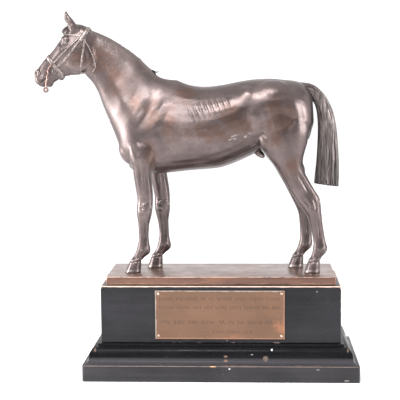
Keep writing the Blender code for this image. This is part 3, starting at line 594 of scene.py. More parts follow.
def mass(bm, centre, radii, tilt, sides):
    """An ellipsoid of muscle or bone, tilted in the side view."""
    x, y, z = centre
    for side in sides:
        place = Matrix.Translation((x, side * y, z))
        place = place @ Matrix.Rotation(math.radians(tilt), 4, "Y")
        place = place @ Matrix.Diagonal((*radii, 1.0))
        bmesh.ops.create_uvsphere(bm, u_segments=28, v_segments=16, radius=1.0, matrix=place)


def horse_body():
    """All lofts and masses of the horse in one mesh of overlapping shells."""
    bm = bmesh.new()
    for rows in (TRUNK, NECK, HEAD, TAIL):
        loft(bm, rows, steps=4)
    loft(bm, FORELOCK, FORELOCK_SHIFT)
    for side in BOTH:
        ear(bm, side)
        leg(bm, FORE_LEG, FORE_SPREAD, side, FAR_FORE_STEP)
        leg(bm, HIND_LEG, HIND_SPREAD, side, FAR_HIND_STEP)
    for masses, sides in ((MASSES, BOTH), (MIDDLE_MASSES, (FAR,))):
        for centre, radii, tilt in masses:
            mass(bm, centre, radii, tilt, sides)
    return mesh_from(bm, "horse_masses")


class Skin:
    """The horse's points, which the strokes below move."""

    def __init__(self, mesh):
        self.mesh = mesh
        self.points = self.read(mesh.vertices, "co", 3)
        self.edges = np.empty(len(mesh.edges) * 2, dtype=np.int32)
        mesh.edges.foreach_get("vertices", self.edges)
        self.edges = self.edges.reshape(-1, 2)
        self.refresh()

    def read(self, items, name, width):
        values = np.empty(len(items) * width, dtype=np.float32)
        items.foreach_get(name, values)
        return values.reshape(-1, width).astype(float)

    def refresh(self):
        """Write the points back and read the new normals."""
        self.mesh.vertices.foreach_set("co", self.points.astype(np.float32).ravel())
        self.mesh.update()
        self.normals = self.read(self.mesh.vertex_normals, "vector", 3)

    def mean_of_neighbours(self, values):
        """Each point's neighbours' mean of some values."""
        a, b = self.edges[:, 0], self.edges[:, 1]
        count = len(self.points)
        links = np.bincount(a, minlength=count) + np.bincount(b, minlength=count)
        total = np.empty_like(values)
        for axis in range(values.shape[1]):
            value = values[:, axis]
            total[:, axis] = np.bincount(a, value[b], count) + np.bincount(b, value[a], count)
        return total / np.maximum(links, 1)[:, None]

    def relax(self, rounds, draw_in=0.50, push_out=-0.52):
        """Smooth the creases and keep the volume."""
        for _ in range(rounds):
            for amount in (draw_in, push_out):
                self.points += amount * (self.mean_of_neighbours(self.points) - self.points)
        self.refresh()

    def soften(self, path, width, rounds):
        """Smooth the skin along a path of the side view."""
        near, off, _ = self.near_path(path, width)
        share = np.zeros((len(self.points), 1))
        share[near, 0] = 0.7 * np.clip(1.0 - off ** 2, 0.0, 1.0)
        for _ in range(rounds):
            self.points += share * (self.mean_of_neighbours(self.points) - self.points)
        self.refresh()

    def near_path(self, path, width):
        """Which points lie along a path of the side view, how far off it each
        is as a share of the width, and how far along it."""
        path = np.array(path, dtype=float)
        spot = self.points[:, [0, 2]]
        low = path.min(axis=0) - width
        high = path.max(axis=0) + width
        near = np.flatnonzero(((spot > low) & (spot < high)).all(axis=1))
        spot = spot[near]
        best = np.full(len(near), np.inf)
        along = np.zeros(len(near))
        passed = 0.0
        for start, end in zip(path, path[1:]):
            span = end - start
            length = np.linalg.norm(span)
            share = np.clip((spot - start) @ span / length ** 2, 0.0, 1.0)
            distance = np.linalg.norm(spot - start - share[:, None] * span, axis=1)
            closer = distance < best
            best[closer] = distance[closer]
            along[closer] = (passed + share * length)[closer]
            passed += length
        return near, best / width, along / passed

    def stroke(self, path, width, height, sides=BOTH, taper=0.3, faces="outer"):
        """Raise or sink the skin along a path of the side view. It fades over
        the taper share at both ends. Only outer faces move, or inner and outer
        ones, or all of them."""
        near, off, along = self.near_path(path, width)
        amount = np.clip(1.0 - off ** 2, 0.0, 1.0) ** 2
        if taper > 0:
            amount *= np.clip(np.minimum(along, 1.0 - along) / taper, 0.0, 1.0)
        facing = self.normals[near, 1]
        place = self.points[near, 1]
        mask = np.zeros(len(near))
        for side in sides:
            here = side * place > -0.5
            turn = {"outer": np.clip(2.0 * side * facing, 0.0, 1.0),
                    "both": np.clip(2.0 * np.abs(facing), 0.0, 1.0),
                    "all": np.ones(len(near))}[faces]
            mask = np.maximum(mask, here * turn)
        self.points[near] += (height * amount * mask)[:, None] * self.normals[near]

    def middle_groove(self, low, high, facing, width, depth):
        """Sink the skin along the middle plane, within a box of the side view,
        where it faces forwards or backwards."""
        place = self.points[:, [0, 2]]
        inside = ((place > low) & (place < high)).all(axis=1)
        near = np.flatnonzero(inside & (np.abs(self.points[:, 1]) < width))
        share = np.clip(1.0 - (self.points[near, 1] / width) ** 2, 0.0, 1.0) ** 2
        turn = np.clip(2.0 * facing * self.normals[near, 0], 0.0, 1.0)
        ends = (place[near, 1] - low[1]) / (high[1] - low[1])
        fade = np.clip(np.minimum(ends, 1.0 - ends) / 0.25, 0.0, 1.0)
        self.points[near] -= (depth * share * turn * fade)[:, None] * self.normals[near]


# Strokes of the body: path, width, height
MUSCLES = [
    ([(-60, 166), (-64, 158), (-69, 149), (-75, 139), (-80, 131), (-84, 125)], 10, 0.6),
    ([(-54, 160), (-58, 152), (-64, 143), (-70, 134), (-77, 122)], 10, -0.35),
    ([(-44, 154), (-48, 149), (-52, 143), (-55, 137), (-57, 132)], 7, 0.5),
    ([(-64, 146), (-70, 137), (-75, 129)], 3.6, 0.22), ([(-49, 151), (-53, 142)], 2.6, 0.18),
    ([(-56, 124), (-53, 116), (-51, 102)], 4, 0.35),
    ([(-52, 136), (-50, 129), (-49, 120), (-49, 110), (-51, 98)], 8, -0.9),
    ([(-111, 186), (-105, 177), (-100, 166), (-96, 155), (-92, 143), (-89, 131)], 8, -0.45),
    ([(-72, 104), (-71, 92), (-70, 80)], 3.4, -0.4),
    ([(-79, 118), (-74, 110), (-70, 103)], 4.5, -0.4),
    ([(27, 146), (29, 140), (31, 133), (34, 120)], 6.5, 0.9),
    ([(20, 146), (22, 138), (27, 124)], 8, -0.7), ([(26, 122), (31, 112)], 6, -0.6),
    ([(58, 159), (64, 150), (67, 137), (67, 118)], 5, 0.6),
    ([(51, 152), (57, 138), (59, 122), (61, 106)], 5, -0.5),
    ([(37, 153), (42, 137), (45, 118)], 4, -0.35),
    ([(34, 109), (43, 103), (47, 95), (57, 81)], 2.6, 0.35),
    ([(66, 91), (72, 81), (80, 67)], 2.8, -0.9),
    ([(-106, 203), (-88, 195), (-71, 181), (-62, 171)], 5, -0.25),
    ([(-46, 95), (-26, 98), (-4, 103), (17, 111)], 3.5, -0.3),
    ([(-46, 112), (-20, 110), (6, 114)], 2, 0.15),
]

# Places where the masses meet too sharply: path, width, rounds of smoothing
SOFT_PLACES = [
    ([(22, 154), (27, 149)], 12, 50), ([(-54, 164), (-62, 151), (-72, 139), (-84, 126)], 16, 260),
    ([(-112, 202), (-108, 192), (-109, 182)], 7, 60),
    ([(-104, 196), (-96, 178), (-90, 160)], 9, 30),
]
RIB_COUNT = 8
RIB_STEP = (4.4, 1.7)
FIRST_RIB = ((-28, 147), (-25.5, 141), (-21.5, 133))
RIB_WIDTH, RIB_HEIGHT = 1.8, 0.48
# The hollow beside the tail's root: path, width, height
TAIL_HOLLOW = ([(84, 132), (82, 124), (78, 114)], 7, -1.3)
# Grooves down the chest and the quarters: box, way they face, width, depth
MIDDLE_GROOVES = [((-100, 104), (-84, 150), -1, 3.2, 1.6), ((70, 96), (90, 152), 1, 3.5, 2.2)]

FACE = [
    ([(-115, 202), (-113.5, 196), (-112.4, 190), (-112.4, 182)], 4, -0.45),
    ([(-117, 200), (-115.4, 195), (-115, 190), (-117, 184), (-122, 179)], 3.2, 0.4),
    ([(-139.5, 198.5), (-144, 192.5), (-149, 187)], 1.7, 0.5),
    ([(-137, 195.5), (-142, 190), (-147, 184.5)], 1.9, -0.35),
    ([(-142.5, 200.5), (-148, 193.5), (-154, 187.5)], 1.5, -0.35),
    ([(-147, 200), (-153, 193), (-159, 186)], 1.6, 0.25),
    ([(-132, 203.2), (-135.8, 206.6), (-139.8, 203.6)], 2.2, -0.25),
    ([(-135.6, 203.5), (-136.8, 203.3)], 3, 0.3),
    ([(-139.9, 204.4), (-140.9, 202.4), (-140.2, 200.4)], 1.2, -0.35),
    ([(-163, 178.6), (-163.9, 176.8), (-163.2, 174.9)], 1.5, -1.7),
    ([(-161.2, 180.3), (-161.3, 177.4), (-161, 174.4)], 0.9, 0.55),
    ([(-161.4, 180.2), (-163.6, 180.4)], 0.9, 0.35),
    ([(-159, 181.4), (-159.4, 177.6), (-158.4, 174.2)], 1.3, -0.35),
    ([(-151.8, 172.7), (-156.6, 170.4), (-160.5, 167.4)], 0.95, -1.2),
    ([(-152.4, 174.4), (-157, 172.4), (-161, 169.6)], 1, 0.25),
    ([(-151.8, 169.9), (-155.6, 168.2), (-158.2, 165.8)], 1.2, 0.3),
    ([(-150.6, 173.6), (-151, 170.6)], 1, -0.4),
    ([(-135.2, 227), (-133.8, 222), (-131.2, 217.4)], 1.8, -0.55),
]
# The face is softened once more: path, width, rounds
SOFT_FACE = ([(-134, 228), (-124, 212), (-136, 198), (-160, 174)], 24, 4)

# Strokes of a leg, for the near one: path, width, height
FORE_DETAILS = [
    ([(-67, 48), (-67.2, 36), (-67, 27)], 1.3, -0.5),
    ([(-65, 48), (-65.2, 36), (-65, 27)], 1, 0.25),
    ([(-72.5, 62.5), (-66.5, 62.3), (-62.5, 62.2)], 1.3, -0.3),
    ([(-72.5, 57.5), (-66.5, 57.2)], 1.1, -0.3), ([(-72.5, 52), (-66.5, 52.4)], 1.1, -0.28),
    ([(-69.8, 60), (-66.8, 59.6)], 1.7, 0.35), ([(-69.8, 54.8), (-66.8, 54.6)], 1.7, 0.32),
    ([(-61.8, 60.5), (-61.8, 56.5)], 1.6, 0.4),
    ([(-66, 92), (-65.4, 80), (-64.6, 68)], 1.9, -0.45),
    ([(-71, 96), (-70, 84), (-69.2, 70)], 1.8, -0.32), ([(-68.4, 88), (-67.6, 76)], 1.2, 0.22),
    ([(-66.6, 24), (-66, 20)], 1.8, 0.35), ([(-70.6, 22.4), (-70.2, 18.8)], 1.4, 0.22),
    ([(-68.8, 19), (-71.6, 14)], 1.2, -0.25),
]
HIND_DETAILS = [
    ([(84.9, 50), (86.3, 38), (87.9, 27)], 1.3, -0.5),
    ([(86.9, 50), (88.3, 38), (89.9, 27)], 1, 0.25),
    ([(72.4, 64.5), (76.4, 61), (79.6, 55)], 1.5, -0.4),
    ([(81, 66), (83.4, 60), (84.2, 54)], 1.7, -0.5), ([(86.2, 65), (87, 60)], 1.8, 0.45),
    ([(77.8, 58), (80.6, 54)], 1.8, 0.4), ([(73.8, 66.6), (77.4, 64.6)], 1.6, 0.28),
    ([(60, 96), (65, 84), (70.6, 74)], 2.3, -0.4), ([(56, 94), (61.5, 83), (67, 73)], 1.8, 0.28),
    ([(89.8, 23.5), (90.2, 20)], 1.8, 0.35), ([(85.6, 22.2), (85.8, 18.6)], 1.4, 0.22),
    ([(86.8, 18.5), (84.4, 14)], 1.2, -0.25),
]
# Level lines round a hoof: height above the soles, width, height of the stroke
HOOF_LINES = [(11, 0.95, 0.35), (9.4, 0.8, -0.5), (7.3, 0.55, -0.12), (5.6, 0.5, -0.1),
              (3.9, 0.5, -0.1), (2.2, 0.5, -0.08)]


def model_leg(skin, details, rows, step):
    """Tendons, bones and hoof lines of a pair of legs."""
    heights, fronts, backs = ([row[column] for row in rows][::-1] for column in range(3))
    for side in BOTH:
        for path, width, height in details:
            moved = [(x + (far_shift(z, step) if side == FAR else 0.0), z) for x, z in path]
            skin.stroke(moved, width, height, sides=(side,), taper=0.25, faces="both")
        for level, width, height in HOOF_LINES:
            shift = far_shift(level, step) if side == FAR else 0.0
            front = float(np.interp(level, heights, fronts)) + shift
            back = float(np.interp(level, heights, backs)) + shift
            line = [(front - 1.0, level), (back + 1.0, level + 0.8)]
            skin.stroke(line, width, height, sides=(side,), taper=0, faces="all")


def model_casting(skin):
    """Muscles, ribs, face, legs and the grooves down the middle."""
    for path, width, height in MUSCLES:
        skin.stroke(path, width, height)
    for index in range(RIB_COUNT):
        rib = np.array(FIRST_RIB) + np.array(RIB_STEP) * index
        skin.stroke(rib, RIB_WIDTH, RIB_HEIGHT, taper=0.45)
    skin.stroke(*TAIL_HOLLOW, faces="all")
    for groove in MIDDLE_GROOVES:
        skin.middle_groove(*groove)
    skin.refresh()
    for path, width, height in FACE:
        skin.stroke(path, width, height, taper=0.15)
    skin.refresh()
    skin.soften(*SOFT_FACE)
    model_leg(skin, FORE_DETAILS, FORE_LEG, FAR_FORE_STEP)
    model_leg(skin, HIND_DETAILS, HIND_LEG, FAR_HIND_STEP)
    skin.refresh()


def casting_mesh():
    """The horse fused, smoothed, made finer and carved, in the trophy's frame."""
    mesh = with_modifier(horse_body(), "REMESH", mode="VOXEL", voxel_size=VOXEL / UNIT)
    skin = Skin(mesh)
    skin.relax(SMOOTH_ROUNDS)
    for path, width, rounds in SOFT_PLACES:
        skin.soften(path, width, rounds)
    mesh = with_modifier(mesh, "SUBSURF", levels=FINER_LEVELS, render_levels=FINER_LEVELS)
    skin = Skin(mesh)
    model_casting(skin)
    skin.points[:, 2] = np.maximum(skin.points[:, 2], 0.0)
    skin.points *= UNIT
    skin.points += (0.0, SET_BACK, SOLES)
    skin.refresh()
    total = sum(len(face.vertices) - 2 for face in mesh.polygons)
    mesh = with_modifier(mesh, "DECIMATE", ratio=min(1.0, CASTING_TRIANGLES / total),
                         use_collapse_triangulate=True)
    mesh.shade_smooth()
    return mesh


# Where the silvering has worn to red brown, in the side view: centre, radii
BROWN_PATCHES = [
    ((-104, 188), (16, 13)), ((-92, 170), (12, 16)), ((-76, 150), (7, 13)), ((-44, 132), (8, 16)),
    ((-60, 140), (9, 14)), ((-8, 124), (26, 10)), ((8, 138), (13, 12)), ((46, 146), (9, 11)),
    ((60, 136), (8, 14)), ((50, 118), (10, 9)), ((-125, 190), (8, 9)), ((-30, 158), (12, 8)),
    ((-62, 105), (9, 12)), ((62, 92), (8, 10)), ((52, 134), (16, 16)), ((18, 130), (12, 12)),
]
# Small scuffs that shine, in the side view
SCUFFS = [(9, 118), (14, 119), (15, 122), (22, 120), (26, 123), (11, 121), (19, 118)]
SCUFF_RADII = (1.7, 0.8)
# A mean bend that counts as a full hollow for the painted shade, and the share of it that counts
# on the head
FULL_BEND = 0.018
HEAD_START = -104.0
HEAD_BEND = 0.55
# Painted shade darkens the skin this near to the pieces that touch the head
CONTACT_SHADE_REACH = 0.9
# Painted shade darkens the off legs below this height, and fades in over this much
SHADED_LEG_TOP, SHADED_LEG_FADE = 94.0, 12.0


def paint_casting(mesh, touching):
    """Per-point marks: painted shade in the hollows, painted highlights on the ridges, worn brown
    patches, pale scuffs, and painted shade beside the pieces that touch the skin. The head gets a
    painted highlight, the crest is paler, and painted shade darkens the off legs."""
    skin = Skin(mesh)
    x = skin.points[:, 0] / UNIT
    z = (skin.points[:, 2] - SOLES) / UNIT

    def oval(centre, radii):
        return ((x - centre[0]) / radii[0]) ** 2 + ((z - centre[1]) / radii[1]) ** 2

    bend = ((skin.mean_of_neighbours(skin.points) - skin.points) * skin.normals).sum(axis=1)
    bend = bend[:, None]
    for _ in range(8):
        bend = 0.3 * bend + 0.7 * skin.mean_of_neighbours(bend)
    bend = bend[:, 0] / (FULL_BEND * MM)
    bend *= np.where(x < HEAD_START, HEAD_BEND, 1.0)
    # Painted shade in the hollows, from the mean bend
    painted_shade = np.clip(bend - 0.4, 0.0, 1.0)
    painted_shade *= 1.0 - 0.85 * np.exp(-oval(BROW, (4.5, 4.5)))
    tree = KDTree(len(touching))
    for index, place in enumerate(touching):
        tree.insert(place, index)
    tree.balance()
    # Painted shade beside the straps, rings and eyes that touch the head
    for index in np.flatnonzero((x < HEAD_START - 1.0) & (z > 160)):
        distance = tree.find(skin.points[index])[2] / MM
        painted_shade[index] = max(painted_shade[index], 0.9 * (1.0 - distance / CONTACT_SHADE_REACH))
    # Painted shade on the off legs
    far_leg_shade = np.clip((SHADED_LEG_TOP - z) / SHADED_LEG_FADE, 0.0, 1.0)
    painted_shade = np.maximum(painted_shade, 0.42 * far_leg_shade * (skin.points[:, 1] > SET_BACK))
    brown = np.zeros(len(x))
    for centre, radii in BROWN_PATCHES:
        brown = np.maximum(brown, np.exp(-oval(centre, radii)))
    # Painted highlight on the ridges from the mean bend and on the head, a paler crest, and pale
    # scuffs
    painted_sheen_and_scuffs = np.clip(-bend - 1.0, 0.0, 1.0) * 0.6
    painted_sheen_and_scuffs = np.maximum(painted_sheen_and_scuffs, 0.16 * np.clip((HEAD_START - x) / 14.0, 0.0, 1.0))
    crest_x, crest_z = np.array(CREST).T
    below = np.interp(x, crest_x, crest_z) - z
    on_neck = (x > crest_x[0]) & (x < crest_x[-1] + 8.0)
    painted_sheen_and_scuffs = np.maximum(painted_sheen_and_scuffs, on_neck * 0.46 * np.clip(1.2 - below / 9.0, 0.0, 1.0))
    for centre in SCUFFS:
        shine = np.exp(-oval(centre, SCUFF_RADII) ** 2)
        painted_sheen_and_scuffs = np.maximum(painted_sheen_and_scuffs, shine * (skin.normals[:, 1] < 0))
    for name, values in {"painted_shade": painted_shade, "painted_sheen_and_scuffs": painted_sheen_and_scuffs, "brown": brown}.items():
        layer = mesh.attributes.new(name, "FLOAT", "POINT")
        layer.data.foreach_set("value", values.astype(np.float32))


# Strands and straps: a cross-section carried along a path

def smooth_path(points, steps):
    """Points that run smoothly through the given ones."""
    return [Vector(row) for row in smooth_rows([tuple(point) for point in points], steps)]


def carried(path, faces, half_widths, half_depths, sides=8, squareness=2.0, closed=False):
    """A shell round a path. Faces are the directions that its flat side looks in.
    Its points also keep how deep they lie below that side, from 0 to 1."""
    bm = bmesh.new()
    depth = bm.verts.layers.float.new("depth")
    count = len(path)
    half_widths = np.broadcast_to(half_widths, count)
    half_depths = np.broadcast_to(half_depths, count)
    rings = []
    for index, (place, face) in enumerate(zip(path, faces)):
        if closed:
            ahead, behind = path[(index + 1) % count], path[index - 1]
        else:
            ahead, behind = path[min(index + 1, count - 1)], path[max(index - 1, 0)]
        along = (ahead - behind).normalized()
        across = along.cross(face).normalized()
        out = across.cross(along)
        ring = bmesh.ops.create_circle(bm, segments=sides, radius=1.0)["verts"]
        for vert in ring:
            wide = half_widths[index] * signed_power(vert.co.x, 2.0 / squareness)
            thick = half_depths[index] * signed_power(vert.co.y, 2.0 / squareness)
            vert[depth] = min(1.0, max(0.0, 1.0 - vert.co.y))
            vert.co = place + across * wide + out * thick
        rings.append(ring_edges(ring))
    bridged(bm, rings, closed)
    return bm


# Layers of the tail's strands: how many, their radius, how far they stand out,
# how much later they start, how many rows earlier they may end
TAIL_LAYERS = [(38, 0.95, -0.20, 0, 0), (84, 0.36, 0.42, 3, 6)]


def tail_shells():
    """Strands all round the tail, from the dock to the banged end."""
    chance = random.Random(11)
    rows = smooth_rows(TAIL, 4)
    middle = [section_point(row, 0.0, 0.0, 1.0).lerp(section_point(row, 0.0, 0.0, -1.0), 0.5)
              for row in rows]
    shells = []
    for count, radius, lift, later, shorter in TAIL_LAYERS:
        for strand in range(count):
            angle = 2 * math.pi * (strand + chance.uniform(-0.45, 0.45)) / count
            phase = chance.uniform(0, 2 * math.pi)
            sway = chance.uniform(0.05, 0.30)
            size = radius * chance.uniform(0.60, 1.20)
            first = chance.randint(0, 8) + later
            last = len(rows) - chance.randint(0, shorter)
            path, faces, sizes = [], [], []
            for index in range(first, last):
                turn = angle + sway * math.sin(phase + index * 0.16)
                place = section_point(rows[index], 0.0, math.cos(turn), math.sin(turn))
                out = (place - middle[index]).normalized()
                path.append(in_place(*(place + out * lift)))
                faces.append(out)
                share = (index - first) / (last - 1 - first)
                tip = min(1.0, 4.0 * (1.0 - share) + 0.2) if shorter else 1.0
                sizes.append(size * min(1.0, 0.35 + 3.0 * share) * tip * UNIT)
            shells.append(carried(path, faces, sizes, sizes, sides=8))
    return shells


CREST = [(-120, 217.5), (-114, 215.2), (-105, 211.4), (-96, 207), (-87, 201.4), (-78, 195.2),
         (-71, 189.4), (-63.5, 182), (-58, 177.6)]
MANE_LOCKS = 46
TUFT = [(-60.5, 178.4), (-58, 177.2), (-56, 176.9), (-54, 177.6)]


def touch(tree, start, towards):
    """Where a ray first meets the skin from outside, with the skin's direction there."""
    for attempt in range(4):
        lower = Vector((0.0, 0.0, -0.17 * attempt * UNIT))
        place, normal, _, _ = tree.ray_cast(start + lower, towards)
        if place is not None and normal.dot(towards) < 0:
            return place, normal
    return tree.find_nearest(start)[:2]


def touch_side(tree, side, x, z):
    """Where the skin lies at a place of the side view, seen from one side."""
    return touch(tree, in_place(x, side * 30.0, z), Vector((0, -side, 0)))


def mane_shells(tree):
    """Short pulled locks that hang on the off side, and the tuft at the withers."""
    chance = random.Random(23)
    crest = smooth_rows(CREST, 8)
    shares = np.linspace(0.0, 1.0, 9)
    shells = []
    for lock in range(MANE_LOCKS):
        x, z = crest[int((lock + 0.5) / MANE_LOCKS * (len(crest) - 1))]
        x += chance.uniform(-0.5, 0.5)
        fall = chance.uniform(9.0, 13.0)
        drift = chance.uniform(0.5, 2.6)
        path, faces = [], []
        for share in shares:
            spot_x = x + drift * share + 0.6 * math.sin(3.0 * share + lock)
            spot_z = z - 2.0 - fall * share ** 1.15
            place, normal = touch(tree, in_place(spot_x, 40.0, spot_z), Vector((0, -1, 0)))
            path.append(place + normal * 0.2 * UNIT)
            faces.append(normal)
        widths = UNIT * (1.1 * (1.0 - shares) ** 0.6 + 0.12)
        shells.append(carried(path, faces, widths, 0.5 * widths))
    for spread in (-0.5, 0.4):
        path = smooth_path([in_place(x, spread, z) for x, z in TUFT], 3)
        sizes = np.linspace(0.9, 0.18, len(path)) * UNIT
        shells.append(carried(path, [Vector((0, 0, 1))] * len(path), sizes, sizes, sides=6))
    return shells


FORELOCK_STRANDS = 11


def forelock_shells():
    """Strands combed forward over the brow."""
    chance = random.Random(31)
    rows = smooth_rows(FORELOCK, 3)
    shells = []
    for strand in range(FORELOCK_STRANDS):
        angle = math.pi * (strand + 0.5) / FORELOCK_STRANDS
        path, faces = [], []
        for row in rows:
            place = section_point(row, FORELOCK_SHIFT, math.cos(angle), math.sin(angle))
            out = Vector((-0.3, math.cos(angle), math.sin(angle))).normalized()
            path.append(in_place(*(place + out * 0.12)))
            faces.append(out)
        sizes = chance.uniform(0.42, 0.60) * UNIT * np.linspace(1.0, 0.30, len(path))
        shells.append(carried(path, faces, sizes, sizes, sides=6))
    return shells


# The bridle. Straps on a side follow a path of the side view; bands go round the
# head in the plane of two points of the side view

CHEEK_STRAP = [(-118, 213), (-121.5, 207.5), (-125.5, 202), (-135, 190.5), (-144.5, 181.8)]
HANGER = [(-121.5, 211), (-125, 206.5), (-129, 202.8), (-138, 194.4), (-147.5, 185.6)]
CURB_STRAP = [(-144.6, 176.2), (-142, 174.2), (-139.8, 172.2)]
HEADPIECE = [(-115.4, 216.6), (-117, 213.4), (-119.8, 209.2), (-122.8, 204.8)]
THROAT_STRAP = [(-119, 205), (-115.1, 198), (-111.6, 190.3), (-109.6, 182.5), (-112.4, 177.4)]
# The straps of a side: path, half width, half depth
SIDE_STRAPS = [(HEADPIECE, 1.9, 0.95), (THROAT_STRAP, 0.6, 0.4), (CHEEK_STRAP, 1.0625, 0.5),
               (HANGER, 0.7225, 0.46), (CURB_STRAP, 0.85, 0.42)]
# Noseband, throatlatch, headpiece, browband: top, low point, start, end, half width,
# half depth, reach
BANDS = [((-154.6, 193.2), (-137.8, 171.8), 0, 360, 1.75, 0.5, 24),
         ((-117.2, 217), (-123.6, 174.6), 0, 360, 0.85, 0.42, 26),
         ((-115, 218.4), (-120, 203), -60, 60, 1.8, 0.85, 24),
         ((-140.2, 210.8), (-112, 208.5), -112, 112, 0.85, 0.42, 24)]
KEEPERS = [(-139.6, 186.6), (-131, 196.2)]
# Rings and buckles of a side: x, z, radius, wire
RINGS = [(-147, 178.2, 1.9, 0.42), (-121.6, 177.4, 1.3, 0.38), (-140.4, 173.4, 1.2, 0.38),
         (-144.6, 181.8, 1, 0.34)]
EYE = (-136.2, 203.2)
BROW = (-134.5, 208.4)
EYE_RADIUS = 2.1 * UNIT


def strap(points, faces, half_width, half_depth, closed=False):
    """A flat strap that lies on the points of the skin."""
    half_width, half_depth = half_width * UNIT, half_depth * UNIT
    path = [place + normal * half_depth * 0.55 for place, normal in zip(points, faces)]
    return carried(path, faces, half_width, half_depth, sides=12, squareness=4.0, closed=closed)


def side_strap(tree, path, side, half_width, half_depth):
    """A strap laid on one side of the head."""
    points, faces = zip(*(touch_side(tree, side, x, z) for x, z in smooth_rows(path, 6)))
    return strap(points, faces, half_width, half_depth)


def round_band(tree, top, low, start, end, half_width, half_depth, reach):
    """A band round the head. Angles run from the top point over the near side to
    the low point, in degrees."""
    upper, lower = in_place(top[0], 0.0, top[1]), in_place(low[0], 0.0, low[1])
    centre = (upper + lower) / 2
    up = (upper - lower).normalized()
    whole = end - start >= 360
    points, faces = [], []
    for index in range(BAND_PARTS if whole else BAND_PARTS + 1):
        angle = math.radians(start + (end - start) * index / BAND_PARTS)
        away = up * math.cos(angle) + Vector((0, NEAR, 0)) * math.sin(angle)
        place, normal = touch(tree, centre + away * reach * UNIT, -away)
        points.append(place)
        faces.append(normal)
    for _ in range(2):
        following = points[1:] + points[:1]
        before = points[-1:] + points[:-1]
        eased = [(a + 2 * b + c) / 4 for a, b, c in zip(before, points, following)]
        points = eased if whole else [points[0]] + eased[1:-1] + [points[-1]]
    return strap(points, faces, half_width, half_depth, closed=whole)


def ring_shell(centre, face, radius, wire, squareness=2.0):
    """A wire ring, round or squared to the cheek strap, that looks along the face."""
    first = Vector((0.67, 0.0, 0.74)).cross(face).cross(face).normalized()
    second = face.cross(first)
    points = []
    for index in range(RING_PARTS):
        angle = 2 * math.pi * index / RING_PARTS
        across = signed_power(math.cos(angle), 2.0 / squareness) * radius
        along = signed_power(math.sin(angle), 2.0 / squareness) * radius
        points.append(centre + first * across + second * along)
    return carried(points, [face] * RING_PARTS, wire, wire, closed=True)


def ring_on(tree, side, x, z, lift, radius, wire, squareness=2.0):
    """A ring that lies on one side of the head, lifted off the skin."""
    place, normal = touch_side(tree, side, x, z)
    return ring_shell(place + normal * lift * UNIT, normal, radius * UNIT, wire * UNIT, squareness)


def bridle_shells(tree):
    """Noseband, hangers, cheek straps, headpiece, browband, throatlatch, keepers."""
    shells = [round_band(tree, *band) for band in BANDS]
    for side in BOTH:
        for path, half_width, half_depth in SIDE_STRAPS:
            shells.append(side_strap(tree, path, side, half_width, half_depth))
        for x, z in KEEPERS:
            shells.append(ring_on(tree, side, x, z, 0.5, 1.35, 0.32, 4.0))
    return shells


def ring_shells(tree):
    """Snaffle rings beside the mouth, buckles of the throatlatch and curb strap."""
    return [ring_on(tree, side, x, z, 0.45, radius, wire)
            for side in BOTH for x, z, radius, wire in RINGS]


def eye_shells(tree):
    """Eyeballs and their lids."""
    shells = []
    for side in BOTH:
        place, normal = touch_side(tree, side, *EYE)
        ball = bmesh.new()
        centre = Matrix.Translation(place - normal * EYE_RADIUS * 0.60)
        bmesh.ops.create_uvsphere(ball, u_segments=20, v_segments=12, radius=EYE_RADIUS,
                                  matrix=centre)
        shells.append(ball)
        shells.append(ring_shell(place + normal * 0.2 * UNIT, normal, EYE_RADIUS, 0.42 * UNIT))
    return shells


# Plinth pieces

def board(name, low, high, corner, edge, finish, replaced):
    """A board with round upright corners and eased edges."""
    bm = bmesh.new()
    place = Matrix.Translation((low + high) / 2) @ Matrix.Diagonal((*(high - low), 1.0))
    bmesh.ops.create_cube(bm, size=1.0, matrix=place)
    upright = [e for e in bm.edges if abs(e.verts[0].co.z - e.verts[1].co.z) > MM]
    bmesh.ops.bevel(bm, geom=upright, offset=corner, segments=6, profile=0.5,
                    affect="EDGES", material=-1)
    level = [e for e in bm.edges if abs(e.verts[0].co.z - e.verts[1].co.z) < MM * 0.01]
    bmesh.ops.bevel(bm, geom=level, offset=edge, segments=4, profile=0.5,
                    affect="EDGES", material=-1)
    piece(name, mesh_from(bm, name, sharp_angle=40), finish, replaced)


MOULDING_STEP = 2.1 * MM
STEP_OUT = 2.4 * MM
WAIST_OUT = 9.8 * MM
WAIST_HEIGHT = 4.4 * MM
FOOT_LIP = 0.4 * MM
SWELL_SQUARENESS = 0.75
PROFILE_PARTS = 16


def moulding_profile():
    """The ogee from the foot up: how far it stands out, and its height."""
    height_over = MOULDING_HIGH.z - MOULDING_LOW.z
    projection = MOULDING_HIGH.x - BLOCK_HIGH.x
    swell_top = height_over - MOULDING_STEP
    points = [(projection, 0.0)]
    for index in range(1, PROFILE_PARTS + 1):
        angle = math.radians(90.0 * index / PROFILE_PARTS)
        out = projection - (projection - WAIST_OUT) * math.sin(angle)
        points.append((out, WAIST_HEIGHT * (1.0 - math.cos(angle)) + FOOT_LIP * math.cos(angle)))
    for index in range(1, PROFILE_PARTS + 1):
        angle = math.radians(90.0 * index / PROFILE_PARTS)
        out = STEP_OUT + (WAIST_OUT - STEP_OUT) * math.cos(angle) ** SWELL_SQUARENESS
        points.append((out, WAIST_HEIGHT + (swell_top - WAIST_HEIGHT) * math.sin(angle)))
    edge = 0.3 * MM
    points.append((STEP_OUT, height_over - edge))
    points.append((STEP_OUT - edge, height_over))
    return points


